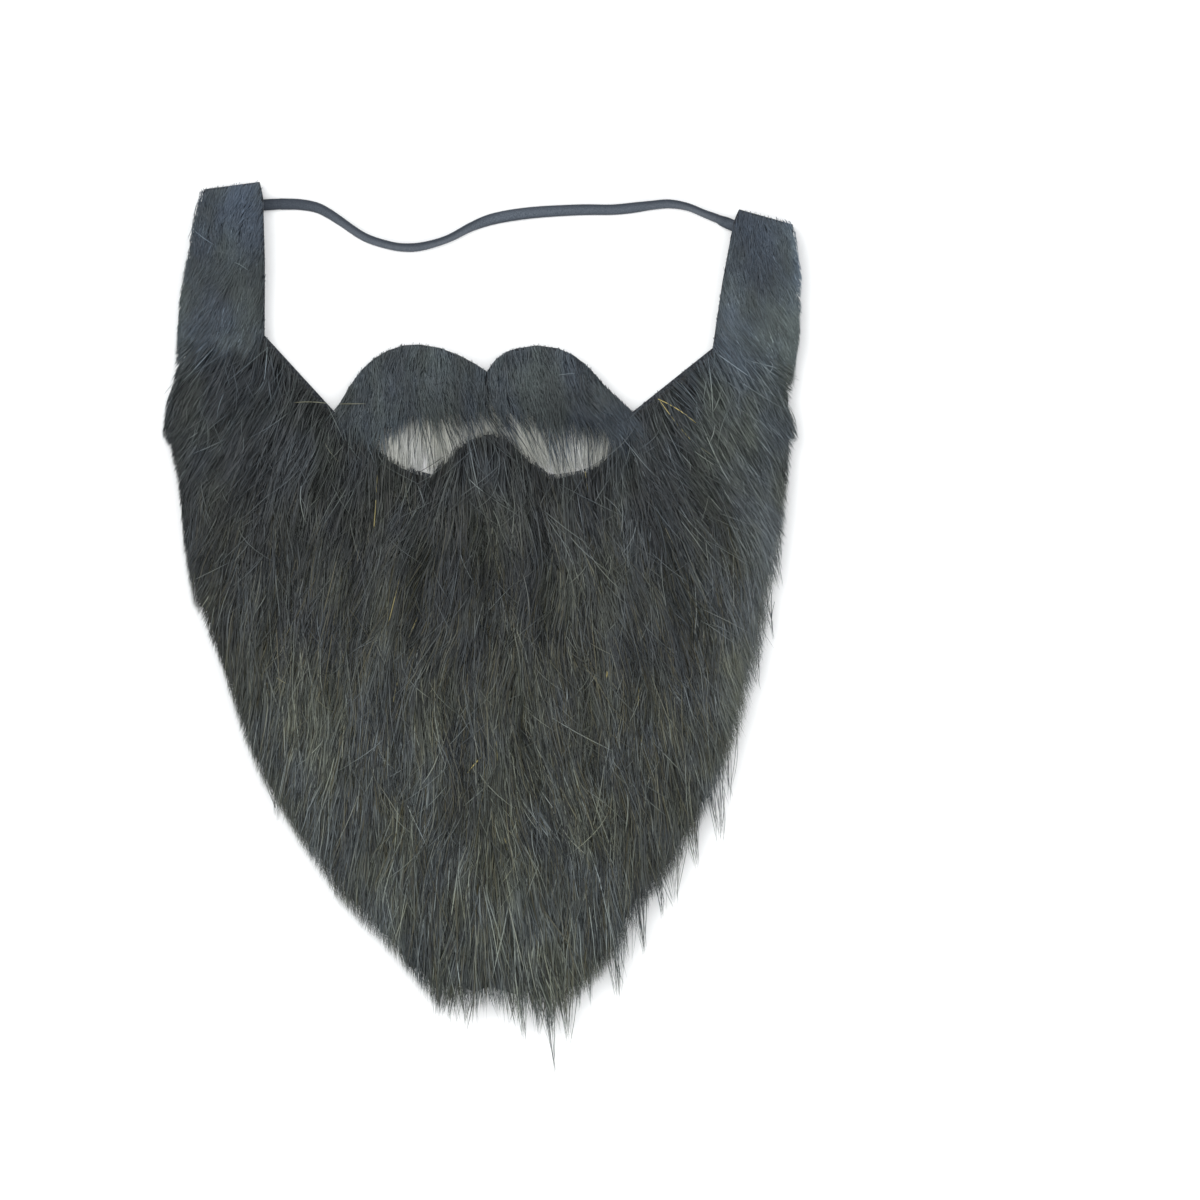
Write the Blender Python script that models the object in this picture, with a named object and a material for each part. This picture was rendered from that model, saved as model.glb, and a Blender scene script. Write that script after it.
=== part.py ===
"""Fake beard of long-pile fur fabric with an elastic cord, lying flat with its fur side up.

Metres, +Z up, +Y towards the sideburns, +X towards the wearer's left ear. The origin is on
the table, under the middle of the fur. Each kind of fur is a bed of short dense pile, with
the long locks that grow from it fused on.
"""

import math
import random

import bmesh
import bpy
from mathutils import Matrix, Vector

# Overall sizes of the fur as it lies, and how far its depth takes to build up: inwards from
# its edge, down from the mouth and up from its tips
BEARD_WIDTH = 0.229
BEARD_LENGTH = 0.3096
FUR_DEPTH = 0.018
EDGE_DEPTH = 0.0065
EDGE_BUILD_UP = 0.045
LIP_BUILD_UP = 0.085
TIP_BUILD_UP = 0.075

# The knitted cloth that carries the fur
CLOTH_THICKNESS = 0.0012
CLOTH_DROP = 0.194
SIDEBURN_WIDTH = 0.024
SIDEBURN_LENGTH = 0.055
FACE_GAP_WIDTH = 0.161
MOUSTACHE_WIDTH = 0.1071
MOUSTACHE_RISE = 0.0235
NOTCH_DROP = 0.0825
MOUTH_WIDTH = 0.086
MOUTH_HEIGHT = 0.0275
MOUTH_DROP = 0.105

# The short pile of each bed, and the long locks
BED_THICKNESS = 0.004
BED_ROUNDING = 0.0014
LOCK_LENGTH = 0.056
LOCK_WIDTH = 0.0215
LOCK_RIDGE = 0.0035
LOCK_SPACING = 0.0205
ROW_SPACING = 0.0235
LIP_ROW_DROP = 0.0045
LIP_INSET = 0.0015
RIM_LENGTH = 0.046
RIM_SPACING = 0.0150
ROOT_INSET = 0.0045
RIM_SHORTFALL = 0.0014
LOCK_LIFT = 0.0014
ROOT_WANDER = 0.003
SIDEBURN_LOCK_LENGTH = 0.030
SIDEBURN_LOCK_WIDTH = 0.012
SIDEBURN_FUR_DEPTH = 0.0105
MOUSTACHE_LOCK_LENGTH = 0.021
MOUSTACHE_LOCK_WIDTH = 0.0115
MOUSTACHE_FUR_DEPTH = 0.0115
MOUTH_VEIL = 0.006
MOUTH_CLEAR = 0.0015

# The elastic
CORD_DIAMETER = 0.004
ELASTIC_WIDTH = 0.0056
ELASTIC_THICKNESS = 0.0012
ELASTIC_SEWN_LENGTH = 0.014
ELASTIC_NECK = 0.005
ELASTIC_STAND_OFF = 0.001

# Gaps that keep neighbouring pieces apart
GAP = 0.0003
PARTING = 0.0004

TOP = BEARD_LENGTH / 2
HALF_WIDTH = BEARD_WIDTH / 2
NOTCH_LEVEL = TOP - NOTCH_DROP
MOUTH_FLOOR = TOP - MOUTH_DROP
BED_BOTTOM = CLOTH_THICKNESS + GAP
BED_TOP = BED_BOTTOM + BED_THICKNESS
TRAIL_STEP = 0.0015
SHORTEST_TRAIL = 5
LEFT, RIGHT = -1, 1
SEED = 7
rad = math.radians

# How the beard's hair lies: it leans outwards from straight down, more up by the mouth than
# low down, and with a small drift to the right all over.
LEAN_HIGH = rad(21)
LEAN_LOW = rad(5)
LEAN_DRIFT = rad(2.5)
LEAN_LOW_UNTIL = -0.075
LEAN_HIGH_FROM = 0.045
LEAN_KNEE = 0.050
MOUSTACHE_LEAN = rad(26)

# Shares of the full depth that the fur has at the lip and at its tips, by how much a lock's
# length and width vary, and between which shares of the bed's thickness the locks are rooted
LIP_FULLNESS = 0.5
TIP_FULLNESS = 0.35
LOCK_VARIATION = 0.12
ROOTED_FROM, ROOTED_TO = 0.12, 0.45
ROOT_LEVELS = 9

# The edge of each moustache lobe, from the centre outwards.
# across: share of half the moustache's width. up: share of its rise above the notches.
LOBE_EDGE = {
    LEFT: [
        (0.16, 0.86),
        (0.43, 1.03),
        (0.64, 0.94),
        (0.81, 0.66),
        (0.92, 0.30),
    ],
    RIGHT: [
        (0.09, 0.82),
        (0.22, 0.97),
        (0.50, 0.97),
        (0.68, 0.73),
        (0.82, 0.38),
    ],
}
CENTRE_NOTCH = (0.023, 0.617)

# The mouth opening. across: share of half its width from its centre, up: share of its height.
MOUTH_CENTRE = 0.003
MOUTH_CORNER_UP = 0.49
MOUTH_ROOF = [(-0.86, 0.78), (-0.52, 0.95), (0.0, 1.0), (0.52, 0.95), (0.86, 0.78)]
MOUTH_LIP = [
    (-0.89, 0.29),
    (-0.74, 0.12),
    (-0.50, 0.0),
    (-0.33, 0.33),
    (-0.18, 0.50),
    (-0.01, 0.56),
    (0.14, 0.49),
    (0.27, 0.29),
    (0.48, 0.0),
    (0.73, 0.05),
    (0.93, 0.22),
]
LIP_CORNERS = (2, 8)

# How each sideburn stands on its inner foot: distance of that foot from the middle as a share
# of half the face gap, its height and length as shares of the sideburn's length, its lean,
# and how far its fur splays and spreads outwards.
SIDEBURN_STANCE = {
    LEFT: dict(
        foot=0.978, raise_foot=0.0, length=1.0, lean=rad(0.5), splay=rad(10), spread=1.0
    ),
    RIGHT: dict(
        foot=1.022, raise_foot=-0.083, length=0.92, lean=rad(9.4), splay=rad(3), spread=0.93
    ),
}
# along: share of the sideburn's length from its foot. across: share of its width, outwards.
SIDEBURN_TOP = [(0.90, 0.0), (1.0, 0.05), (0.955, 0.88)]
SIDEBURN_OUTER = [(0.65, 1.01), (0.27, 1.10)]
SIDEBURN_BASE_ACROSS = 1.14

# The cloth's outer edge below the sideburns. down: share of the cloth's drop.
# left, right: shares of half the beard's width.
CLOTH_EDGE = [
    (0.11, -0.94, 0.945),
    (0.22, -0.925, 0.925),
    (0.35, -0.86, 0.865),
    (0.48, -0.785, 0.80),
    (0.61, -0.69, 0.715),
    (0.73, -0.56, 0.61),
    (0.86, -0.385, 0.47),
    (0.955, -0.17, 0.31),
]
CLOTH_TIP_ACROSS = 0.07

# Where the long fur ends. down: share of the beard's length.
# left, right: shares of half the beard's width.
FUR_EDGE = [
    (0.00, -0.87, 0.97),
    (0.10, -0.94, 1.00),
    (0.19, -0.955, 0.975),
    (0.255, -0.97, 0.965),
    (0.293, -1.00, 0.985),
    (0.345, -0.96, 0.955),
    (0.44, -0.93, 0.94),
    (0.495, -0.90, 0.895),
    (0.60, -0.785, 0.84),
    (0.67, -0.725, 0.78),
    (0.75, -0.615, 0.685),
    (0.81, -0.49, 0.605),
    (0.88, -0.325, 0.485),
    (0.93, -0.21, 0.41),
    (0.962, -0.115, 0.335),
    (1.00, 0.21, 0.245),
]

# The share down the beard where the rim of long locks begins
RIM_FROM = 0.25

# Rows of locks on each sideburn: its share of the length, and shares across.
SIDEBURN_ROWS = [
    (0.88, (0.24, 0.50, 0.75)),
    (0.67, (0.24, 0.53, 0.81)),
    (0.46, (0.24, 0.56, 0.88)),
]

# Rows of locks on each lobe of the moustache: its share of the rise, and shares across.
MOUSTACHE_ROWS = [
    (0.74, (0.22, 0.46)),
    (0.48, (0.12, 0.34, 0.56)),
    (0.22, (0.10, 0.28, 0.46, 0.64, 0.80)),
]

# How a lock swells and thins. along: share of its length. width: share of its width.
# rise: how far it has come up from the bed's top to the fur's surface.
LOCK_SECTIONS = [
    (0.0, 0.50, 0.0),
    (0.22, 0.95, 0.8),
    (0.50, 1.0, 1.0),
    (0.80, 0.62, 0.95),
    (1.0, 0.10, 0.75),
]
# The rounded back of a lock. across: share of half its width. down: share of its ridge.
LOCK_BACK = [(-0.94, 1.0), (-0.55, 0.36), (0.0, 0.0), (0.55, 0.36), (0.94, 1.0)]
# On a thin lock, the share of its thickness that its ridge takes
SHALLOW_RIDGE = 0.7

# How far below the top the cloth and its fur begin and end their rise over the sewn elastic
RISE_FROM = 0.042
RISE_TO = 0.027
RISE_STEPS = 5

# Where the elastic comes out from under each sideburn: its share of the sideburn's length,
# and how far it dips on its way outwards.
ELASTIC_EXIT = {
    LEFT: dict(along=0.86, dip=rad(-3)),
    RIGHT: dict(along=0.88, dip=rad(23)),
}

# How the cord's round end flattens into the elastic. along: share of the neck's length.
# flat: from 0, the cord's own section, to 1, the flat elastic's.
NECK_SECTIONS = [(0.0, 0.0), (0.55, 0.6), (1.0, 1.0)]
OVAL_SIDES = 12
CORD_POINT_SPACING = 1.8

# The elastic's route between its two necks, chosen by hand from its waves on the table.
CORD_POINTS = [
    (-0.0660, 0.1466),
    (-0.0600, 0.1455),
    (-0.0557, 0.1434),
    (-0.0514, 0.1406),
    (-0.0428, 0.1349),
    (-0.0342, 0.1320),
    (-0.0278, 0.1311),
    (-0.0213, 0.1317),
    (-0.0127, 0.1343),
    (-0.0041, 0.1387),
    (0.0045, 0.1417),
    (0.0174, 0.1437),
    (0.0346, 0.1447),
    (0.0475, 0.1448),
    (0.0604, 0.1463),
    (0.0668, 0.1468),
    (0.0733, 0.1457),
    (0.0790, 0.1434),
]


def clear_scene():
    for obj in list(bpy.data.objects):
        bpy.data.objects.remove(obj)


def collection(name):
    made = bpy.data.collections.new(name)
    bpy.context.scene.collection.children.link(made)
    return made


def material(name, colour, roughness):
    made = bpy.data.materials.new(name)
    made.use_nodes = True
    shader = made.node_tree.nodes["Principled BSDF"]
    shader.inputs["Base Color"].default_value = (*colour, 1.0)
    shader.inputs["Roughness"].default_value = roughness
    shader.inputs["Metallic"].default_value = 0.0
    made.diffuse_color = (*colour, 1.0)
    return made


def ease(share):
    """A smooth step from 0 to 1."""
    share = min(1.0, max(0.0, share))
    return share * share * (3 - 2 * share)


def between(table, down):
    """(left, right) of a table of edges at a share down, read along straight runs."""
    for (d0, l0, r0), (d1, l1, r1) in zip(table, table[1:]):
        if down <= d1:
            t = max(0.0, (down - d0) / (d1 - d0))
            return l0 + t * (l1 - l0), r0 + t * (r1 - r0)
    return table[-1][1:]


# Outlines: each point is (x, y, corner), where corner keeps the outline sharp there.


def lobe_point(side, across, up):
    return side * across * MOUSTACHE_WIDTH / 2, NOTCH_LEVEL + up * MOUSTACHE_RISE


def side_notch(side, aside=0.0):
    """The sharp notch between a moustache lobe and the cheek."""
    x, y = lobe_point(side, 1.0, 0.0)
    return x + side * aside, y, True


def centre_notch(aside=0.0):
    x, y = lobe_point(RIGHT, *CENTRE_NOTCH)
    return x + aside, y, True


def lobe(side):
    """A moustache lobe's edge from the centre notch to the side notch, both left out."""
    return [(*lobe_point(side, *row), False) for row in LOBE_EDGE[side]]


def mouth_point(across, up):
    return MOUTH_CENTRE + across * MOUTH_WIDTH / 2, MOUTH_FLOOR + up * MOUTH_HEIGHT


def mouth_corner(side, aside=0.0):
    x, y = mouth_point(side, MOUTH_CORNER_UP)
    return x + side * aside, y, True


def mouth_lip():
    """The lower edge of the mouth opening, left to right, round the chin lobe."""
    return [(*mouth_point(*row), i in LIP_CORNERS) for i, row in enumerate(MOUTH_LIP)]


def mouth_roof(side=None):
    """The upper edge of the mouth opening, left to right, or one side of it without its centre."""
    rows = [row for row in MOUTH_ROOF if side is None or side * row[0] > 0]
    return [(*mouth_point(*row), False) for row in rows]


def sideburn_foot(side):
    stance = SIDEBURN_STANCE[side]
    level = TOP - SIDEBURN_LENGTH + stance["raise_foot"] * SIDEBURN_LENGTH
    return Vector((side * stance["foot"] * FACE_GAP_WIDTH / 2, level))


def sideburn_axes(side):
    """(along, outwards) directions of a sideburn."""
    lean = SIDEBURN_STANCE[side]["lean"]
    along = Vector((side * math.sin(lean), math.cos(lean)))
    return along, Vector((side * along.y, -side * along.x))


def sideburn_point(side, along, across):
    up, out = sideburn_axes(side)
    length = SIDEBURN_LENGTH * SIDEBURN_STANCE[side]["length"]
    return sideburn_foot(side) + up * along * length + out * across * SIDEBURN_WIDTH


def sideburn_base(side, raised=0.0):
    """The line where a sideburn becomes the cheek, as (inner end, outer end)."""
    ends = sideburn_point(side, 0.0, 0.0), sideburn_point(side, 0.0, SIDEBURN_BASE_ACROSS)
    return [(end.x, end.y + raised, True) for end in ends]


def sideburn_edge(side):
    """A sideburn's edge from its inner foot, left out, over its top and down its outer side."""
    top = [(*sideburn_point(side, *row), i > 0) for i, row in enumerate(SIDEBURN_TOP)]
    return top + [(*sideburn_point(side, *row), False) for row in SIDEBURN_OUTER]


def cloth_level(down):
    return TOP - SIDEBURN_LENGTH - down * CLOTH_DROP


def cheek_edge(side):
    """The cloth's outer edge from the cheek down to beside its tip."""
    column = 1 if side == LEFT else 2
    return [(row[column] * HALF_WIDTH, cloth_level(row[0]), False) for row in CLOTH_EDGE]


def cloth_tip():
    return CLOTH_TIP_ACROSS * HALF_WIDTH, cloth_level(1.0), False


def cloth_outline():
    left = [side_notch(LEFT), sideburn_base(LEFT)[0], *sideburn_edge(LEFT), *cheek_edge(LEFT)]
    right = [side_notch(RIGHT), sideburn_base(RIGHT)[0], *sideburn_edge(RIGHT), *cheek_edge(RIGHT)]
    return [
        centre_notch(),
        *lobe(LEFT),
        *left,
        cloth_tip(),
        *reversed(right),
        *reversed(lobe(RIGHT)),
    ]


def mouth_outline():
    return [mouth_corner(LEFT), *mouth_lip(), mouth_corner(RIGHT), *reversed(mouth_roof())]


def beard_border():
    """Where the beard meets the other piles, from its right cheek round to its left one."""
    half = PARTING / 2
    return [
        *reversed(sideburn_base(RIGHT, -half)),
        side_notch(RIGHT, half),
        mouth_corner(RIGHT, half),
        *reversed(mouth_lip()),
        mouth_corner(LEFT, half),
        side_notch(LEFT, half),
        *sideburn_base(LEFT, -half),
    ]


def beard_outline():
    return [*beard_border(), *cheek_edge(LEFT), cloth_tip(), *reversed(cheek_edge(RIGHT))]


def beard_territory():
    """The beard's border, open below and to the sides as far as any lock reaches."""
    border = beard_border()
    far = BEARD_LENGTH
    left, right = (-far, border[-1][1], True), (far, border[0][1], True)
    return [*border, left, (-far, -far, True), (far, -far, True), right]


def moustache_outline(side):
    half = PARTING / 2
    roof = mouth_roof(side)
    if side == RIGHT:
        roof = roof[::-1]
    centre = centre_notch(side * half)
    roof_centre = (centre[0], mouth_point(0.0, 1.0)[1], True)
    return [
        centre,
        *lobe(side),
        side_notch(side, -half),
        mouth_corner(side, -half),
        *roof,
        roof_centre,
    ]


def moustache_territory(side):
    """A lobe's part of the moustache, with the mouth below it down to near the lip."""
    half = PARTING / 2
    centre = centre_notch(side * half)[0]
    corner = mouth_corner(side, -half - MOUTH_CLEAR)
    lip = [(x, y + MOUTH_CLEAR, sharp) for x, y, sharp in mouth_lip() if side * (x - centre) > 0]
    if side == RIGHT:
        lip = lip[::-1]
    middle = centre, mouth_lip()[len(MOUTH_LIP) // 2][1] + MOUTH_CLEAR, True
    notch = side_notch(side, -half)
    far = BEARD_LENGTH
    return [(centre, far, True), (notch[0], far, True), notch, corner, *lip, middle]


def sideburn_outline(side):
    inner, outer = sideburn_base(side, PARTING / 2)
    return [inner, *sideburn_edge(side), outer]


def sideburn_territory(side):
    """Everything above the base of a sideburn, on its side of the face."""
    inner, outer = sideburn_base(side, PARTING / 2)
    far = side * BEARD_LENGTH
    return [inner, (inner[0], abs(far), True), (far, abs(far), True), (far, outer[1], True), outer]


# Shapes


def outline_curve(name, loops, bottom, thickness, rounding):
    """A flat curve object with thickness. loops are the outer outline and any holes."""
    curve = bpy.data.curves.new(name, "CURVE")
    curve.dimensions = "2D"
    curve.fill_mode = "BOTH"
    curve.resolution_u = 2
    curve.extrude = thickness / 2 - rounding
    curve.bevel_depth = rounding
    curve.bevel_resolution = 0
    curve.offset = -rounding
    for loop in loops:
        spline = curve.splines.new("BEZIER")
        spline.bezier_points.add(len(loop) - 1)
        spline.use_cyclic_u = True
        for point, (x, y, corner) in zip(spline.bezier_points, loop):
            point.co = (x, y, 0.0)
            handle = "VECTOR" if corner else "AUTO"
            point.handle_left_type = point.handle_right_type = handle
    obj = bpy.data.objects.new(name, curve)
    obj.location.z = bottom + thickness / 2
    return obj


def as_mesh(curve_object, home):
    """The mesh object of a curve object, with its caps joined on. The curve is removed."""
    name = curve_object.name
    home.objects.link(curve_object)
    bpy.context.view_layer.update()
    graph = bpy.context.evaluated_depsgraph_get()
    mesh = bpy.data.meshes.new_from_object(curve_object.evaluated_get(graph))
    matrix = curve_object.matrix_world.copy()
    bpy.data.objects.remove(curve_object)
    shell = bmesh.new()
    shell.from_mesh(mesh)
    bmesh.ops.remove_doubles(shell, verts=shell.verts, dist=1e-6)
    bmesh.ops.recalc_face_normals(shell, faces=shell.faces)
    shell.to_mesh(mesh)
    shell.free()
    made = bpy.data.objects.new(name, mesh)
    made.matrix_world = matrix
    home.objects.link(made)
    return made


def loft(name, rings, home):
    """A closed mesh object through rings of points, with flat ends."""
    shell = bmesh.new()
    loops = [[shell.verts.new(point) for point in ring] for ring in rings]
    for lower, upper in zip(loops, loops[1:]):
        for i in range(len(lower)):
            j = (i + 1) % len(lower)
            shell.faces.new((lower[i], lower[j], upper[j], upper[i]))
    shell.faces.new(loops[0])
    shell.faces.new(loops[-1])
    bmesh.ops.recalc_face_normals(shell, faces=shell.faces)
    mesh = bpy.data.meshes.new(name)
    shell.to_mesh(mesh)
    shell.free()
    made = bpy.data.objects.new(name, mesh)
    home.objects.link(made)
    return made


def oval(centre, sideways, width, height):
    """A ring of points round centre, level across and upright."""
    ring = []
    for i in range(OVAL_SIDES):
        turn = 2 * math.pi * i / OVAL_SIDES
        across = sideways * (width / 2 * math.cos(turn))
        ring.append(centre + across + Vector((0, 0, height / 2 * math.sin(turn))))
    return ring


def lock(name, path, width, bottom, home):
    """A lock of hair lying along path, which has its top for each row of LOCK_SECTIONS.

    It is filled down to bottom, so that nothing is hollow under crossing locks.
    """
    rings = []
    for i, ((_, wide, _), point) in enumerate(zip(LOCK_SECTIONS, path)):
        heading = path[min(len(path) - 1, i + 1)] - path[max(0, i - 1)]
        sideways = Vector((heading.y, -heading.x, 0.0)).normalized()
        half = width * wide / 2
        drop = min(LOCK_RIDGE, SHALLOW_RIDGE * (point.z - bottom))
        ring = []
        for across, down in LOCK_BACK:
            ring.append(point + sideways * (across * half) - Vector((0, 0, down * drop)))
        for side in (RIGHT, LEFT):
            foot = point + sideways * (side * half)
            foot.z = bottom
            ring.append(foot)
        rings.append(ring)
    return loft(name, rings, home)


def is_inside(outline, x, y, margin):
    """Whether a point lies inside an outline, at least margin from its edge."""
    inside = False
    for (x0, y0, _), (x1, y1, _) in zip(outline, outline[1:] + outline[:1]):
        if (y0 > y) != (y1 > y) and x < x0 + (y - y0) / (y1 - y0) * (x1 - x0):
            inside = not inside
        run = Vector((x1 - x0, y1 - y0))
        along = Vector((x - x0, y - y0)).dot(run) / max(run.length_squared, 1e-12)
        nearest = Vector((x0, y0)) + run * min(1.0, max(0.0, along))
        if (Vector((x, y)) - nearest).length < margin:
            return False
    return inside


# The lie of the fur


def fur_edges(y):
    left, right = between(FUR_EDGE, (TOP - y) / BEARD_LENGTH)
    return left * HALF_WIDTH, right * HALF_WIDTH


def reaches_out(x, y):
    """Whether a point lies past the end of the long fur."""
    left, right = fur_edges(y)
    return y < -TOP or not left <= x <= right


def rim_tips():
    """Points a lock's spacing apart down each side of the long fur's end, to its lowest point."""
    levels = [TOP - row[0] * BEARD_LENGTH for row in FUR_EDGE if row[0] >= RIM_FROM]
    tips = []
    for side in (LEFT, RIGHT):
        edge = [Vector((fur_edges(y)[side > 0] - side * RIM_SHORTFALL, y)) for y in levels[:-1]]
        lowest = Vector((sum(fur_edges(levels[-1])) / 2, levels[-1]))
        tips += smooth_route([*edge, lowest], RIM_SPACING)
    return tips[:-1]


def beard_lean(x, y):
    """How far the hair leans from straight down, positive to the right."""
    height = ease((y - LEAN_LOW_UNTIL) / (LEAN_HIGH_FROM - LEAN_LOW_UNTIL))
    outwards = x / math.hypot(x, LEAN_KNEE)
    return LEAN_DRIFT + (LEAN_LOW + (LEAN_HIGH - LEAN_LOW) * height) * outwards


def beard_crown(x, y):
    """Height of the fur's surface: thin by the mouth and at the ends, full in the middle."""
    left, right = fur_edges(y)
    inwards = ease(min(x - left, right - x) / EDGE_BUILD_UP)
    below_lip = LIP_FULLNESS + (1 - LIP_FULLNESS) * ease((NOTCH_LEVEL - y) / LIP_BUILD_UP)
    above_tips = TIP_FULLNESS + (1 - TIP_FULLNESS) * ease((y + TOP) / TIP_BUILD_UP)
    return EDGE_DEPTH + (FUR_DEPTH - EDGE_DEPTH) * inwards * min(below_lip, above_tips)


def flow(at):
    """The direction in which the beard's hair lies at a point."""
    lean = beard_lean(*at)
    return Vector((math.sin(lean), -math.cos(lean)))


def beard_trail(root, length):
    """Points of a lock that lies down over the fur from its root, none if it would reach out."""
    trail = [root]
    while len(trail) * TRAIL_STEP < length:
        trail.append(trail[-1] + flow(trail[-1]) * TRAIL_STEP)
    return [] if reaches_out(*trail[-1]) else trail


def rim_trail(tip, outline):
    """Points of a lock that ends at tip, from a root inside the cloth, none if it is stubby."""
    trail, rooted = [tip], 0
    while rooted * TRAIL_STEP < RIM_LENGTH and len(trail) * TRAIL_STEP < 2 * RIM_LENGTH:
        trail.append(trail[-1] - flow(trail[-1]) * TRAIL_STEP)
        if is_inside(outline, *trail[-1], ROOT_INSET):
            rooted = len(trail)
    return trail[:rooted][::-1] if rooted * TRAIL_STEP > RIM_LENGTH / 2 else []


def lay(trail, crown, lift=0.0):
    """The tops of a lock along trail, one for each row of LOCK_SECTIONS."""
    path = []
    for along, _, rise in LOCK_SECTIONS:
        at = trail[min(len(trail) - 1, round(along * (len(trail) - 1)))]
        full = crown(*at) + lift * math.sin(math.pi * along)
        root = BED_TOP - BED_ROUNDING
        path.append(Vector((at.x, at.y, root + (full - root) * rise)))
    return path


def beard_locks():
    """(path, width) of every long lock: the rim's first, then rows from the cheeks down."""
    chance = random.Random(SEED)

    def vary(size):
        return size * chance.uniform(1 - LOCK_VARIATION, 1 + LOCK_VARIATION)

    outline = beard_outline()
    locks = []
    for tip in rim_tips():
        trail = rim_trail(tip, outline)
        if trail:
            size = min(1.0, len(trail) * TRAIL_STEP / RIM_LENGTH)
            locks.append((lay(trail, beard_crown), vary(LOCK_WIDTH) * size))
    y, row = MOUTH_FLOOR - LIP_ROW_DROP + 2 * ROW_SPACING, 0
    while y > cloth_level(1.0):
        left, right = fur_edges(y)
        count = max(1, round((right - left) / LOCK_SPACING))
        for i in range(count + 1):
            x = left + (i + (row % 2) / 2) * (right - left) / count
            wander = chance.uniform(-ROOT_WANDER, ROOT_WANDER)
            root = Vector((x + wander / 2, y + wander))
            length, width = vary(LOCK_LENGTH), vary(LOCK_WIDTH)
            lift = chance.uniform(-LOCK_LIFT, LOCK_LIFT)
            trail = beard_trail(root, length) if is_inside(outline, *root, LIP_INSET) else []
            if trail:
                locks.append((lay(trail, beard_crown, lift), width))
        y -= ROW_SPACING
        row += 1
    return locks


def straight_trail(root, lean, length):
    step = Vector((math.sin(lean), -math.cos(lean))) * TRAIL_STEP
    return [root + step * i for i in range(max(SHORTEST_TRAIL, round(length / TRAIL_STEP) - 1) + 1)]


def sideburn_locks(side):
    """(path, width) of the locks of a sideburn, its outer ones hanging past the cloth."""
    locks = []
    splay = SIDEBURN_STANCE[side]["splay"]
    for along, shares in SIDEBURN_ROWS:
        for across in shares:
            root = sideburn_point(side, along, across * SIDEBURN_STANCE[side]["spread"])
            trail = straight_trail(root, side * splay * across, SIDEBURN_LOCK_LENGTH)
            depth = BED_TOP + (SIDEBURN_FUR_DEPTH - BED_TOP) * (1 - along / 2)
            locks.append((lay(trail, lambda x, y: depth), SIDEBURN_LOCK_WIDTH))
    return locks


def moustache_locks(side):
    """(path, width) of the locks of a lobe, combed outwards over the mouth."""
    locks = []
    for up, shares in MOUSTACHE_ROWS:
        for across in shares:
            root = Vector(lobe_point(side, across, up))
            lean = side * MOUSTACHE_LEAN * (1 - across)
            end = roof_level(root.x) - MOUTH_VEIL * (1 - across**4)
            length = min(MOUSTACHE_LOCK_LENGTH, (root.y - end) / math.cos(lean))
            trail = straight_trail(root, lean, length)
            depth = BED_TOP + (MOUSTACHE_FUR_DEPTH - BED_TOP) * (1 + up) / 2
            locks.append((lay(trail, lambda x, y: depth), MOUSTACHE_LOCK_WIDTH))
    return locks


def roof_level(x):
    """Height up the beard of the mouth opening's upper edge at x."""
    rows = [mouth_point(-1.0, MOUTH_CORNER_UP), *[point[:2] for point in mouth_roof()]]
    rows.append(mouth_point(1.0, MOUTH_CORNER_UP))
    for (x0, y0), (x1, y1) in zip(rows, rows[1:]):
        if x <= x1:
            return y0 + (y1 - y0) * max(0.0, (x - x0) / (x1 - x0))
    return rows[-1][1]


def boolean(obj, operation, operands):
    modifier = obj.modifiers.new(operation.title(), "BOOLEAN")
    modifier.operation = operation
    modifier.solver = "EXACT"
    modifier.operand_type = "COLLECTION"
    modifier.collection = operands


def risen(y):
    """How far the sewn elastic lifts the cloth at y, in straight steps of a smooth rise."""
    step = min(1.0, max(0.0, (y - rise_level(0)) / (rise_level(1) - rise_level(0)))) * RISE_STEPS
    low = math.floor(step)
    shares = [ease(i / RISE_STEPS) for i in (low, low + 1)]
    return (ELASTIC_THICKNESS + GAP) * (shares[0] + (shares[1] - shares[0]) * (step - low))


def rise_level(share):
    return TOP - RISE_FROM + share * (RISE_FROM - RISE_TO)


def drape(obj):
    """Lifts what lies over the sewn elastic, bending it along straight lines across."""
    shell = bmesh.new()
    shell.from_mesh(obj.data)
    for i in range(RISE_STEPS + 1):
        level = Vector((0, rise_level(i / RISE_STEPS), 0))
        parts = [*shell.verts, *shell.edges, *shell.faces]
        bmesh.ops.bisect_plane(shell, geom=parts, dist=1e-5, plane_co=level, plane_no=(0, 1, 0))
    for vert in shell.verts:
        vert.co.z += risen(vert.co.y)
    shell.to_mesh(obj.data)
    shell.free()


def slab(name, loops, bottom, thickness, home, rounding=0.0):
    """A mesh object between two levels inside flat outlines, placed at the origin."""
    made = as_mesh(outline_curve(name, loops, bottom, thickness, rounding), home)
    made.data.transform(made.matrix_world)
    made.matrix_world = Matrix()
    return made


def pile(name, outline, territory, locks, finish):
    """A bed of short pile with its locks fused on, kept inside its own territory."""
    bed = slab(name, [outline], BED_BOTTOM, BED_THICKNESS, PARTS, BED_ROUNDING)
    growths = collection(name + "_locks")
    for i, (path, width) in enumerate(locks):
        rooted = ROOTED_FROM + (ROOTED_TO - ROOTED_FROM) * (i % ROOT_LEVELS) / ROOT_LEVELS
        lock(f"{name}_lock_{i}", path, width, BED_BOTTOM + BED_THICKNESS * rooted, growths)
    bounds = collection(name + "_bounds")
    slab(name + "_territory", [territory], -FUR_DEPTH, 4 * FUR_DEPTH, bounds)
    boolean(bed, "UNION", growths)
    boolean(bed, "INTERSECT", bounds)
    for helper in [*growths.objects, *bounds.objects]:
        helper.hide_render = True
        helper.display_type = "WIRE"
    bpy.context.view_layer.update()
    graph = bpy.context.evaluated_depsgraph_get()
    fused = bpy.data.meshes.new_from_object(bed.evaluated_get(graph))
    bed.modifiers.clear()
    bed.data = fused
    bed.data.materials.clear()
    bed.data.materials.append(finish)
    return bed


# The elastic


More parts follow.
